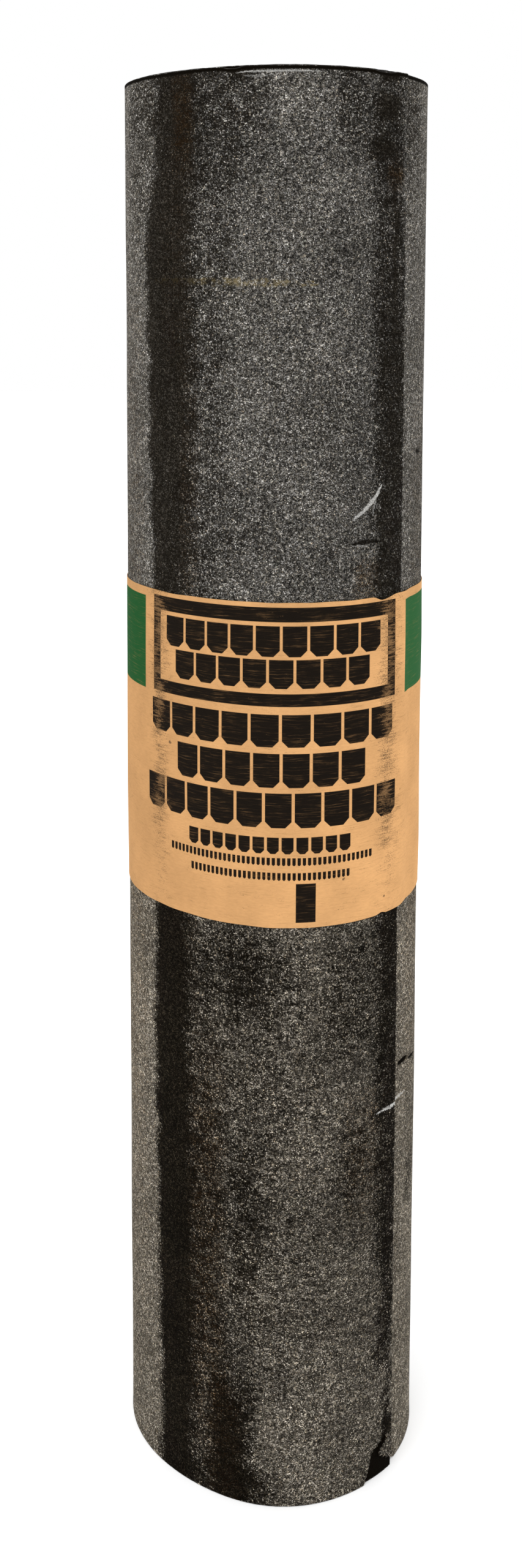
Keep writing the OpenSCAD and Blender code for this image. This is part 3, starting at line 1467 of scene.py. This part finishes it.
@dataclass(frozen=True)
class CutEdge:
    """The sheet's cut edge: black coating outside, a fibrous felt core, and coating again inside, all dusty.

    Attributes:
        coating: Colour of the asphalt coating.
        core: Colour of the soaked felt core.
        dust: Colour of the dust and crushed granules.
    """

    coating: Triple = (0.016, 0.0145, 0.013)
    core: Triple = (0.072, 0.060, 0.048)
    dust: Triple = (0.17, 0.16, 0.145)

    def material(self) -> Material:
        """Makes the material."""
        surface = Surface("cut_edge", 0.06)
        wiring, here = surface.wiring, surface.here()
        across = surface.value("across")
        wobble = wiring.noise(here, 260.0, 3.0, 0.6)
        across = wiring.plus(across, wiring.times(wiring.minus(wobble, 0.5), 0.45))
        core = wiring.times(wiring.remap(across, 0.16, 0.30), wiring.remap(across, 0.74, 0.88, 1.0, 0.0))
        fibres = Fibres.put(wiring, Vector=here, Stretch=(520.0, 520.0, 1500.0), Contrast=2.2)["Value"]
        wool = wiring.mix(fibres, self.coating, self.core)
        granules = Granules.put(wiring, Vector=here, Size=1.0 * MM)
        crumbs = wiring.remap(wiring.noise(here, 130.0, 4.0, 0.7), 0.48, 0.64)
        outside = wiring.mix(wiring.times(crumbs, 0.8), self.coating, granules["Color"])
        colour = wiring.mix(core, outside, wool)
        powder = wiring.remap(wiring.noise(here, 42.0, 5.0, 0.68), 0.44, 0.72, 0.0, 0.55)
        powder = wiring.times(powder, wiring.remap(fibres, 0.3, 0.8, 0.4, 1.0))
        colour = wiring.mix(powder, colour, self.dust)
        relief = wiring.plus(wiring.times(granules["Height"], 0.5), fibres)
        roughness = wiring.remap(core, 0.0, 1.0, 0.72, 0.93)
        return surface.finish(colour, roughness, relief, 0.8, 0.35 * MM)


@dataclass(frozen=True)
class FeltBack:
    """The felt's inner face: dark coating dusted with fine sand, which keeps the turns from sticking.

    Attributes:
        coating: Colour of the coating.
        sand: Colour of the sand.
        grit: Colour of the coarse grains in it.
    """

    coating: Triple = (0.024, 0.0215, 0.0195)
    sand: Triple = (0.085, 0.078, 0.068)
    grit: Triple = (0.22, 0.20, 0.17)

    def material(self) -> Material:
        """Makes the material."""
        surface = Surface("felt_back", 0.08)
        wiring, here = surface.wiring, surface.here()
        grains = wiring.noise(here, 900.0, 2.0, 0.6)
        cover = wiring.noise(here, 24.0, 4.0, 0.6)
        sand = wiring.times(wiring.remap(grains, 0.42, 0.68), wiring.remap(cover, 0.3, 0.7, 0.35, 0.95))
        specks = Specks.put(wiring, Vector=here, Spacing=7.0 * MM, Size=0.12)["Mask"]
        colour = wiring.mix(sand, self.coating, self.sand)
        colour = wiring.mix(wiring.times(specks, 0.6), colour, self.grit)
        relief = wiring.plus(grains, wiring.times(cover, 0.6))
        roughness = wiring.remap(sand, 0.0, 1.0, 0.6, 0.9)
        return surface.finish(colour, roughness, relief, 0.7, 0.25 * MM)


class Ink(Enum):
    """The inks of the band's print."""

    BLACK = (0.0088, 0.0064, 0.0046)
    GREEN = (0.0115, 0.0665, 0.0175)
    FADED_GREEN = (0.0235, 0.0960, 0.0310)


@dataclass(frozen=True)
class Block:
    """A printed rectangle, or a course of clipped slates.

    Attributes:
        left: Azimuth of its left side.
        right: Azimuth of its right side.
        low: Height of its lower side.
        high: Height of its upper side.
        slates: How many slates the course has, or 0 for a plain rectangle.
        gap: Gap between two slates.
        clip: How far the lower corners of a slate are clipped.
        ink: Its ink.
    """

    left: float
    right: float
    low: float
    high: float
    slates: int = 0
    gap: float = 2.4 * MM
    clip: float = 4.0 * MM
    ink: Ink = Ink.BLACK

    def mask(self, wiring: Wiring, wrap: Feed) -> Feed:
        """Wires the block's mask.

        Args:
            wiring: The material's wiring.
            wrap: The place round the roll and up it.

        Returns:
            The mask's socket.
        """
        left, right = wrapped(self.left), wrapped(self.right)
        step = (right - left) / max(self.slates, 1)
        plain = self.slates == 0
        return Panel.put(
            wiring,
            Vector=wrap,
            Low=(left, self.low, 0.0),
            High=(right, self.high, 0.0),
            Step=2.0 * step if plain else step,
            Gap=-10.0 * step if plain else self.gap,
            Clip=-1.0 if plain else self.clip,
        )["Mask"]


@dataclass(frozen=True)
class PrintedPaper:
    """The band's outside: kraft paper printed in black and green, scuffed where it is rubbed in handling.

    Attributes:
        paper: Colour of the paper.
        dirt: Colour of the grime rubbed into it.
        scrape: Colour of the fine scrapes.
        speck: Colour of the specks in the pulp.
        blocks: What is printed on it.
        scuffed: Azimuth and reach of each rubbed strip.
        shades: Azimuth, reach and factor of each upright part that is made darker or paler.
    """

    paper: Triple = (0.552, 0.300, 0.126)
    dirt: Triple = (0.055, 0.036, 0.022)
    scrape: Triple = (0.20, 0.115, 0.040)
    speck: Triple = (0.07, 0.045, 0.027)
    blocks: tuple[Block, ...] = (
        Block(55.2, 128.0, 0.5290, 0.5892, ink=Ink.FADED_GREEN),
        Block(-128.0, -60.3, 0.5290, 0.5892, ink=Ink.GREEN),
        Block(-54.5, 48.3, 0.5825, 0.5915),
        Block(-54.5, 48.3, 0.5300, 0.5380),
        Block(-54.5, -50.4, 0.5300, 0.5915),
        Block(44.2, 48.3, 0.5300, 0.5915),
        Block(-47.4, 41.0, 0.5610, 0.5800, slates=9, gap=1.7 * MM, clip=3.9 * MM),
        Block(-42.5, 36.1, 0.5412, 0.5592, slates=8, gap=1.7 * MM, clip=3.9 * MM),
        Block(-56.0, 47.5, 0.5045, 0.5250, slates=9, gap=1.9 * MM, clip=3.9 * MM),
        Block(-41.7, 34.5, 0.4790, 0.5005, slates=7, gap=1.9 * MM, clip=3.9 * MM),
        Block(-58.7, 49.6, 0.4535, 0.4755, slates=10, gap=1.9 * MM, clip=3.9 * MM),
        Block(-36.0, 28.5, 0.4370, 0.4475, slates=12, gap=1.7 * MM, clip=2.2 * MM),
        Block(-45.0, 37.7, 0.4295, 0.4345, slates=44, gap=1.1 * MM, clip=0.7 * MM),
        Block(-34.8, 28.0, 0.4200, 0.4250, slates=34, gap=1.1 * MM, clip=0.7 * MM),
        Block(7.4, 14.7, 0.3930, 0.4180),
    )
    scuffed: tuple[Pair, ...] = ((-51.5, 9.0), (45.5, 10.5))
    shades: tuple[Triple, ...] = ((-74.0, 62.0, 0.80), (36.0, 48.0, 1.12), (150.0, 50.0, 0.94))

    def material(self) -> Material:
        """Makes the material."""
        surface = Surface("printed_kraft", 0.02)
        wiring, here, wrap = surface.wiring, surface.here(), surface.wrap()
        along, up, _ = wiring.split(wrap)
        fibres = Fibres.put(wiring, Vector=wrap, Stretch=(260.0, 900.0, 1.0), Contrast=1.3)["Value"]
        cloudy = wiring.noise(here, 34.0, 4.0, 0.55)
        level = wiring.times(
            wiring.remap(fibres, 0.2, 0.8, 0.93, 1.05),
            wiring.remap(cloudy, 0.25, 0.75, 0.90, 1.08),
            *(self._beside(wiring, along, *shade, 1.0) for shade in self.shades),
        )
        colour = wiring.tinted(level, self.paper)

        # Where the band is rubbed, and where that takes the ink off.
        stray = wiring.noise(wrap, 30.0, 3.0, 0.6)
        strayed = wiring.plus(along, wiring.times(wiring.minus(stray, 0.5), 0.022))
        rubbed = wiring.most(*(self._beside(wiring, strayed, *strip, 1.0, 0.0) for strip in self.scuffed))
        rubbed = wiring.times(rubbed, wiring.remap(up, 0.395, 0.460, 0.35, 1.0))
        waves = wiring.vector("SCALE", wiring.noise(wrap, 70.0, 2.0, part="Color"), scale=2.4 * MM)
        scratched = wiring.vector("ADD", wrap, waves)
        hatch = Fibres.put(wiring, Vector=scratched, Stretch=(48.0, 1250.0, 1.0), Contrast=2.6)["Value"]
        streaks = Fibres.put(wiring, Vector=wrap, Stretch=(110.0, 900.0, 1.0), Contrast=2.2)["Value"]
        fine = Fibres.put(wiring, Vector=wrap, Stretch=(900.0, 2300.0, 1.0), Contrast=2.4)["Value"]
        patches = Fibres.put(wiring, Vector=wrap, Stretch=(90.0, 150.0, 1.0), Contrast=2.0)["Value"]
        marks = (streaks, fine, patches, rubbed)
        bared = wiring.remap(wiring.weighed(marks, (0.40, 0.32, 0.28, 0.30)), 0.70, 0.98)

        # The grime, the fine scrapes and the specks in the pulp.
        grime = wiring.weighed(marks, (0.30, 0.45, 0.25, 0.24))
        colour = wiring.mix(wiring.times(wiring.remap(grime, 0.62, 0.92), 0.80), colour, self.dirt)
        lines = wiring.times(wiring.remap(hatch, 0.62, 0.95), wiring.remap(patches, 0.35, 0.75, 0.08, 0.34))
        colour = wiring.mix(lines, colour, self.scrape)
        specks = Specks.put(wiring, Vector=wrap, Spacing=15.0 * MM, Size=0.075)["Mask"]
        colour = wiring.mix(wiring.times(specks, 0.75), colour, self.speck)

        # The print over all of them.
        thinned = wiring.times(wiring.remap(hatch, 0.5, 1.0), wiring.remap(patches, 0.3, 0.8, 0.02, 0.15))
        inked: Feed = 0.0
        for ink in Ink:
            blocks = (block.mask(wiring, wrap) for block in self.blocks if block.ink is ink)
            share = wiring.times(wiring.most(*blocks), wiring.minus(1.0, wiring.times(bared, 0.85)))
            colour = wiring.mix(share, colour, wiring.mix(thinned, ink.value, self.paper))
            inked = wiring.most(inked, share)
        relief = wiring.plus(fibres, wiring.times(cloudy, 0.8))
        roughness = wiring.remap(inked, 0.0, 1.0, 0.90, 0.82)
        return surface.finish(colour, roughness, relief, 0.35, 0.15 * MM)

    @staticmethod
    def _beside(
        wiring: Wiring, along: Feed, azimuth: float, reach: float, there: float, away: float
    ) -> Feed:
        """Wires a number that eases from one value on an upright line to another at the reach beside it."""
        distance = wiring.math("ABSOLUTE", wiring.minus(along, wrapped(azimuth)))
        return wiring.remap(distance, 0.0, wrapped(reach), there, away)


@dataclass(frozen=True)
class PlainPaper:
    """The band's inside and its cut edges.

    Attributes:
        paper: Colour of the paper.
    """

    paper: Triple = (0.52, 0.30, 0.13)

    def material(self) -> Material:
        """Makes the material."""
        surface = Surface("plain_kraft", 0.05)
        wiring, here = surface.wiring, surface.here()
        fibres = Fibres.put(wiring, Vector=here, Stretch=(420.0, 420.0, 900.0), Contrast=1.6)["Value"]
        level = wiring.remap(fibres, 0.2, 0.8, 0.86, 1.06)
        colour = wiring.tinted(level, self.paper)
        roughness = wiring.remap(fibres, 0.2, 0.8, 0.86, 0.78)
        return surface.finish(colour, roughness, fibres, 0.35, 0.12 * MM)


# ---------------------------------------------------------------- sub-assemblies


class Slot(IntEnum):
    """Material slots of a piece, in order."""

    FACE = 0
    EDGE = 1
    BACK = 2


def put_in_scene(name: str, data: bpy.types.ID) -> bpy.types.Object:
    """Makes an object of a mesh, a light or a camera and puts it into the scene.

    Args:
        name: Name of the object.
        data: What it shows.

    Returns:
        The object, at the origin.
    """
    thing = bpy.data.objects.new(name, data)
    bpy.context.scene.collection.objects.link(thing)
    return thing


def make_piece(name: str, skin: Sleeve, materials: tuple[Material, ...], stands_for: str) -> None:
    """Puts a skin into the scene as a piece of the object.

    Args:
        name: Name of the piece.
        skin: Its skin, in place.
        materials: The materials of its slots.
        stands_for: The CAD node that it replaces.
    """
    mesh = skin.mesh(name)
    piece = put_in_scene(name, mesh)
    for material in materials:
        mesh.materials.append(material)
    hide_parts(stands_for)
    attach(piece, "root")
    mesh.calc_loop_triangles()
    log.info("%s: %d points, %d triangles", name, len(mesh.vertices), len(mesh.loop_triangles))


@dataclass
class FeltRoll:
    """The wound felt, as its outer turn and the turns inside it.

    Attributes:
        width: Width of the felt.
        winding: The spiral that it follows.
        wear: The marks on its outer turn.
        corner: Radius to which the sheet's edges are worn.
        split: How far past its first full turn the outer piece runs, in turns, under the free edge.
        lift: How far the free edge stands off the turn below, by height.
        lift_reach: Angle over which it settles down again.
        stations: Stations round the outer turn.
        rows: Rows of points up the outer turn's face.
        inner_step: Length of felt between two stations of the inner turns.
        inner_corner: Radius of the inner turns' edges.
        ragged: How uneven the inner turns' cut edges are.
        stagger: Half the most that an inner turn stands above the outer one.
        bore_row: Share of the map's height that the innermost turn gets, which lines the bore.
    """

    width: float
    winding: Winding
    wear: OuterWear
    corner: float = 0.7 * MM
    split: float = 8.0 / 360.0
    lift: Course = Course(
        (0.0, 0.06, 0.2, 0.33, 0.375, 0.605, 0.66, 0.8, 0.9, 0.914),
        (0.9 * MM, 0.6 * MM, 0.4 * MM, 0.25 * MM, 0.0, 0.0, 0.3 * MM, 0.4 * MM, 0.4 * MM, 0.5 * MM),
    )
    lift_reach: float = 14.0
    stations: int = 425
    rows: int = 196
    inner_step: float = 3.0 * MM
    inner_corner: float = 0.45 * MM
    ragged: float = 0.11 * MM
    stagger: float = 0.9 * MM
    bore_row: float = 0.36

    def build(self, face: Material, edge: Material, back: Material) -> None:
        """Makes the two pieces and dresses them.

        Args:
            face: Finish of the granule-covered face.
            edge: Finish of the cut edges.
            back: Finish of the inner face.
        """
        materials = (face, edge, back)
        make_piece("felt_outer_turn", self.outer_turn(), materials, FELT_NODE)
        make_piece("felt_inner_turns", self.inner_turns(), materials, FELT_NODE)

    def outer_turn(self) -> Sleeve:
        """The outer turn, from the free edge once round and a little way under itself.

        A point at t turns, height z and depth d lies at the winding's radius plus the soft ripples and the
        lifted edge, less d. Where the face is torn or cracked, d is at least the depth of that. Towards the
        free edge, the sheet's face rounds down to its back. The top edge is worn down and the lower one up,
        which shortens the last few millimetres of each height. Stations and rows lie closer together at the
        free edge, the cracks and the ends.

        Returns:
            The skin.
        """
        reach = 360.0 * (1.0 + self.split)
        spots = ((9.0, 7.0, 2.6), (0.0, 1.0, 3.0), (360.0, 7.0, 1.2), (92.0, 20.0, 0.5))
        along = graded(0.0, reach, self.stations - 5, spots)
        nose = np.degrees(np.array([0.12, 0.35, 0.65, 1.0, 1.5]) * MM / self.winding.outer_radius)
        turns = np.unique(np.concatenate([along, nose])) / 360.0
        azimuth = self.winding.azimuth(turns)
        here = fold(azimuth)
        past_edge = turns * 2.0 * math.pi * self.winding.outer_radius
        rounding = np.interp(past_edge, [0.0, 0.35 * MM, 1.0 * MM], [0.5, 0.82, 1.0])

        end = self.width
        guard = np.array([0.0, 0.4, 0.9]) * MM
        spots = ((0.03, 0.035, 2.4), (0.2765, 0.006, 8.0), (0.629, 0.003, 8.0), (end, 0.03, 1.5))
        between = graded(self.corner + 1.6 * MM, end - self.corner - 1.6 * MM, self.rows - 6, spots)
        rows = np.concatenate([self.corner + guard, between, end - self.corner - guard[::-1]])
        thickness = self.winding.thickness
        loop = SheetLoop.around(thickness, rows, np.linspace(0.01, end - 0.01, 10), end, self.corner)

        first = here[:, None]
        height = np.broadcast_to(loop.height, (len(turns), len(loop.height)))
        near_floor, near_top = near_edges(height, 0.0, end)
        height = height - near_top * self.wear.top_loss(first) + near_floor * self.wear.bottom_loss(first)

        recess = self.wear.recess(first, height) * (turns[:, None] < 1.0)
        back = thickness - (thickness - loop.depth) * rounding[:, None]
        depth = np.maximum(back, np.minimum(recess, thickness - 0.1 * MM))
        settle = 1.0 - smoothstep(0.0, self.lift_reach, 360.0 * turns)
        lift = self.lift.at(height) * settle[:, None]
        radius = self.winding.radius(turns)[:, None] + self.wear.soft(first, height) + lift - depth

        shares = loop.shares(0.90, 0.018, 0.055)
        arc = CAP_SPREAD + turns / turns[-1] * (1.0 - 2.0 * CAP_SPREAD)
        return Sleeve(
            points=place(radius, azimuth[:, None], height),
            strips=loop.strips(Slot.FACE, Slot.EDGE, Slot.BACK),
            cap=Slot.EDGE,
            maps={
                WRAP_MAP: lay_out(self._wrap(here), np.append(loop.height, loop.height[0])),
                BAKE_MAP: lay_out(np.stack([arc[:-1], arc[1:]], axis=-1), shares),
            },
            values={
                "pressed": self.wear.pressed(first, height),
                "stain": self.wear.stain(first, height),
                "tone": self.wear.tone(first, height),
                "dust": self.wear.dust(first, height),
                "broken": recess / (2.0 * MM),
                "across": loop.depth[None, :] / thickness,
            },
        )

    @staticmethod
    def _wrap(here: Array) -> Array:
        """Length round the roll at the two stations of each strip, with no jump inside a strip.

        Args:
            here: Azimuths of the stations, between -180 and 180.

        Returns:
            The lengths, by strip and by near or far station.
        """
        near, far = here[:-1], here[1:]
        far = np.where(far - near > 180.0, far - 360.0, far)
        return wrapped(np.stack([near, far], axis=-1))

    def inner_turns(self) -> Sleeve:
        """The turns under the outer one, down to the bore.

        Each turn stands a little higher or lower than the next, by smooth waves along the sheet and by up to
        1.8 mm, and its cut edge is ragged from place to place.

        Returns:
            The skin.
        """
        winding = self.winding
        start, last = 1.0 + self.split, winding.turns
        fine = np.linspace(start, last, 6000)
        length = 2.0 * math.pi * (winding.outer_radius * fine - winding.pitch * fine**2 / 2.0)
        count = int((length[-1] - length[0]) / self.inner_step)
        turns = np.interp(np.linspace(length[0], length[-1], count), length, fine)
        marks = start + np.arange(1, math.ceil(last - start))
        turns = np.unique(np.concatenate([turns, marks]))
        azimuth = winding.azimuth(turns)

        end, thickness = self.width, winding.thickness
        outer = np.array([2.0 * MM, 0.25, 0.66, end - 2.0 * MM])
        inner = np.array([2.0 * MM, 0.3, 0.6, end - 2.0 * MM])
        loop = SheetLoop.around(thickness, outer, inner, end, self.inner_corner)
        draw = np.random.default_rng(31)
        down, up = np.abs(draw.normal(0.0, self.ragged, (2, len(turns), 1)))
        phase = 2.0 * math.pi * turns[:, None]
        sway = np.sin(0.61 * phase / 6.0 + 0.9) + 0.8 * np.sin(0.23 * phase + 2.0)
        sway = np.clip((sway + 0.35 * np.sin(1.07 * phase + 1.0)) / 1.9, -1.0, 1.0)
        shift = self.stagger * (1.0 + sway) * smoothstep(start, start + 0.4, turns)[:, None]
        near_top = smoothstep(0.5 * end, end, loop.height[None, :])
        height = loop.height[None, :] + shift - down * near_top + up * (1.0 - near_top)
        radius = winding.radius(turns)[:, None] - loop.depth[None, :]

        near, far = turns[:-1], turns[1:]
        turn = np.minimum(np.floor((near - start) + 1e-9), len(marks))
        floor, share = self._rows(turn, len(marks))
        along = np.stack([near - start - turn, far - start - turn], axis=-1)
        along = CAP_SPREAD + np.clip(along, 0.0, 1.0) * (1.0 - 2.0 * CAP_SPREAD)
        hidden, bore = loop.shares(0.14, 0.36, 0.14), loop.shares(0.05, 0.06, 0.83)
        across = np.where((turn == len(marks))[:, None], bore, hidden)
        across = floor[:, None] + 0.97 * share[:, None] * across
        return Sleeve(
            points=place(radius, azimuth[:, None], height),
            strips=loop.strips(Slot.FACE, Slot.EDGE, Slot.BACK),
            cap=Slot.EDGE,
            maps={
                WRAP_MAP: lay_out(self._wrap(fold(azimuth)), np.append(loop.height, loop.height[0])),
                BAKE_MAP: lay_out(along, across[:, :, None]),
            },
            values=dict.fromkeys(("pressed", "stain", "dust", "broken"), np.array(0.0))
            | {"tone": np.array(1.0), "across": loop.depth[None, :] / thickness},
        )

    def _rows(self, turn: Array, last: int) -> tuple[Array, Array]:
        """Lower side and height of the map's row for each strip: one row a turn, the bore's the tallest."""
        height = (1.0 - self.bore_row) / last
        return turn * height, np.where(turn == last, self.bore_row, height)


@dataclass
class PaperBand:
    """The paper band, which is wrapped once round the roll and glued together at the back.

    Attributes:
        low: Height of its lower edge.
        high: Height of its upper edge.
        winding: The felt's spiral.
        wear: The felt's surface.
        lap: Length of the glued lap.
        thickness: Thickness of the paper.
        clearance: Clearance to the felt.
        bridge: Angle over which it runs straight past the felt's free edge.
        waves: Ripples of the paper.
        edges: Wander of its two edges.
        ripple_size: Half the most that a ripple stands out.
        edge_size: Usual size of the edges' wander.
        stations: Stations round the band.
        rows: Rows of points up its outside.
    """

    low: float
    high: float
    winding: Winding
    wear: OuterWear
    lap: float = 40.0 * MM
    thickness: float = 0.3 * MM
    clearance: float = 0.22 * MM
    bridge: float = 9.0
    waves: Waves = Waves(seed=21, around=9, along=6.0)
    edges: Waves = Waves(seed=22, around=26, along=0.0)
    ripple_size: float = 0.2 * MM
    edge_size: float = 0.18 * MM
    stations: int = 420
    rows: int = 64

    def build(self, printed: Material, plain: Material) -> None:
        """Makes the band, printed outside and plain on its edges and its inside."""
        make_piece("paper_wrapper", self.wrap(), (printed, plain, plain), BAND_NODE)

    def upper_edge(self, azimuth: Array) -> Array:
        """Height of the upper edge: a wander, and a dent where the free edge of the felt runs under it."""
        dent = 2.3 * MM * smoothstep(37.0, 41.5, azimuth) * (1.0 - smoothstep(41.5, 50.0, azimuth))
        return self.high + self.edge_size * self.edges.at(azimuth) - dent

    def lower_edge(self, azimuth: Array) -> Array:
        """Height of the lower edge: a wander, and a small nick."""
        nick = 1.1 * MM * hump(azimuth, 42.5, 1.6)
        return self.low + self.edge_size * self.edges.at(azimuth + 101.0) + nick

    def wrap(self) -> Sleeve:
        """The wrapped strip.

        Its back lies at the felt's outline plus the clearance and a soft ripple, and it eases down past the
        felt's free edge. Over the lap it stands off by its thickness more. Close to an edge, the height is
        shifted by what that edge is away from level.

        Returns:
            The skin.
        """
        half = math.degrees(self.lap / 2.0 / self.winding.outer_radius)
        spots = ((127.5 + half, 6.0, 2.0), (2.0 * half, 2.0, 3.0))
        azimuth = 180.0 + half - graded(0.0, 360.0 + 2.0 * half, self.stations, spots)
        here = fold(azimuth)[:, None]
        corner = 0.1 * MM
        tall = self.high - self.low
        rows = np.linspace(corner, tall - corner, self.rows)
        loop = SheetLoop.around(self.thickness, rows, np.linspace(corner, tall - corner, 16), tall, corner)
        share = loop.height[None, :] / tall
        flat = self.low + loop.height[None, :]
        near_low, near_top = near_edges(flat, self.low, self.high)
        up_shift = (self.upper_edge(here) - self.high) * near_top
        low_shift = (self.lower_edge(here) - self.low) * near_low
        height = flat + up_shift + low_shift
        ripple = self.ripple_size * (1.0 + np.clip(self.waves.at(here, height), -1.0, 1.0))
        ripple = ripple * smoothstep(0.0, 0.2, share) * smoothstep(0.0, 0.2, 1.0 - share) + 0.1 * MM
        over = smoothstep(180.0 - half - 1.9, 180.0 - half, azimuth)[:, None] * (self.thickness + 0.05 * MM)
        outline = self.winding.outline(here, self.bridge) + self.wear.soft(here, height)
        radius = outline + self.clearance + ripple + over + self.thickness - loop.depth
        lengths = wrapped(np.stack([azimuth[:-1], azimuth[1:]], axis=-1))
        arc = CAP_SPREAD + np.linspace(0.0, 1.0, len(azimuth)) * (1.0 - 2.0 * CAP_SPREAD)
        up = np.concatenate([height, height[:, :1]], axis=1)
        return Sleeve(
            points=place(radius, azimuth[:, None], height),
            strips=loop.strips(Slot.FACE, Slot.EDGE, Slot.BACK),
            cap=Slot.EDGE,
            maps={
                WRAP_MAP: lay_out(lengths, np.stack([up[:-1], up[1:]], axis=-1)),
                BAKE_MAP: lay_out(np.stack([arc[:-1], arc[1:]], axis=-1), loop.shares(0.76, 0.02, 0.20)),
            },
        )


@dataclass
class Studio:
    """The camera, the pale floor and the soft light.

    Attributes:
        eye: Place of the camera.
        pitch: Angle by which it looks down.
        tilt: Angle by which it leans over.
        turn: Angle by which it looks aside.
        lens: Focal length in millimetres.
        shift: Upward shift of the frame.
        middle: What the softboxes point at.
        floor_radius: Radius of the round floor.
        floor_glow: Strength of the floor's own light, which keeps it pale.
    """

    eye: Triple = (0.0, -0.9808, 0.776)
    pitch: float = 5.83
    tilt: float = -0.167
    turn: float = -0.633
    lens: float = 33.99
    shift: float = -0.211
    middle: Triple = (0.0, 0.0, 0.45)
    floor_radius: float = 12.0
    floor_glow: float = 0.16

    def build(self) -> None:
        """Makes everything."""
        self.camera()
        self.world()
        self.floor()
        self.sky()
        self.softbox("key", (-1.5, -1.9, 2.1), (1.6, 1.6), 12.0)
        self.softbox("left_edge", (-1.9, 0.75, 0.9), (0.9, 2.0), 6.0)
        self.softbox("right_edge", (1.9, 0.75, 0.9), (0.9, 2.0), 6.0)

    def camera(self) -> None:
        """Places the camera: forward, right and up come from its three angles in turn."""
        pitch, tilt, turn = (math.radians(angle) for angle in (self.pitch, self.tilt, self.turn))
        ahead = Vector((math.sin(turn), math.cos(turn), 0.0))
        level = Vector((math.cos(turn), -math.sin(turn), 0.0))
        forward = ahead * math.cos(pitch) - Vector((0.0, 0.0, math.sin(pitch)))
        above = ahead * math.sin(pitch) + Vector((0.0, 0.0, math.cos(pitch)))
        right = level * math.cos(tilt) - above * math.sin(tilt)
        up = level * math.sin(tilt) + above * math.cos(tilt)
        data = bpy.data.cameras.new("camera")
        data.lens = self.lens
        data.shift_y = self.shift
        data.clip_start, data.clip_end = 0.02, 60.0
        camera = put_in_scene("camera", data)
        facing = Matrix((right, up, -forward)).transposed().to_4x4()
        camera.matrix_world = Matrix.Translation(self.eye) @ facing
        bpy.context.scene.camera = camera

    def world(self) -> None:
        """Fills the room with even white light."""
        world = bpy.data.worlds.new("room")
        world.use_nodes = True
        background = world.node_tree.nodes["Background"]
        background.inputs["Color"].default_value = (1.0, 1.0, 1.0, 1.0)
        background.inputs["Strength"].default_value = 1.0
        bpy.context.scene.world = world
        bpy.context.scene.view_settings.view_transform = "Standard"

    def sky(self) -> None:
        """Hangs a wide, soft light overhead, which keeps the floor evenly pale."""
        data = bpy.data.lights.new("overhead", "SUN")
        data.energy = 0.9
        data.angle = math.radians(70.0)
        light = put_in_scene("overhead", data)
        light.rotation_euler = (math.radians(10.0), math.radians(-5.0), 0.0)

    def floor(self) -> None:
        """Lays a wide round floor."""
        angle = np.linspace(0.0, 2.0 * math.pi, 96, endpoint=False)
        rim = self.floor_radius * np.stack([np.cos(angle), np.sin(angle), 0.0 * angle], axis=-1)
        mesh = bpy.data.meshes.new("floor")
        mesh.from_pydata(rim.tolist(), [], [list(range(len(angle)))])
        surface = Surface("pale_floor", 0.2)
        wiring, here = surface.wiring, surface.here()
        level = wiring.remap(wiring.noise(here, 3.0, 3.0, 0.5), 0.3, 0.7, 0.90, 0.92)
        wiring.feed(surface.shader.inputs["Base Color"], level)
        surface.shader.inputs["Roughness"].default_value = 0.9
        surface.shader.inputs["Emission Color"].default_value = (1.0, 1.0, 1.0, 1.0)
        surface.shader.inputs["Emission Strength"].default_value = self.floor_glow
        mesh.materials.append(surface.material)
        put_in_scene("floor", mesh)

    def softbox(self, name: str, spot: Triple, size: Pair, power: float) -> None:
        """Hangs a large rectangular light that points at the middle of the roll.

        Args:
            name: Its name.
            spot: Where it hangs.
            size: Its width and height.
            power: Its power in watts.
        """
        data = bpy.data.lights.new(name, "AREA")
        data.shape = "RECTANGLE"
        data.size, data.size_y = size
        data.energy = power
        light = put_in_scene(name, data)
        light.location = spot
        light.rotation_euler = (Vector(self.middle) - Vector(spot)).to_track_quat("-Z", "Y").to_euler()


def main() -> None:
    """Builds the roll on the frame and lights it."""
    logging.basicConfig(level=logging.INFO, format="%(name)s: %(message)s")
    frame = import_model()
    log.info("frame with %d nodes", len(frame["nodes"]))
    felt_low, felt_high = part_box(FELT_NODE)
    band_low, band_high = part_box(BAND_NODE)
    width = felt_high.z - felt_low.z
    winding = Winding(bore_radius=BORE_RADIUS)
    wear = OuterWear(width=width)
    roll = FeltRoll(width=width, winding=winding, wear=wear)
    face = MineralFace(width=width).material()
    roll.build(face, CutEdge().material(), FeltBack().material())
    band = PaperBand(low=band_low.z, high=band_high.z, winding=winding, wear=wear)
    band.build(PrintedPaper().material(), PlainPaper().material())
    Studio().build()


if __name__ == "__main__":
    main()
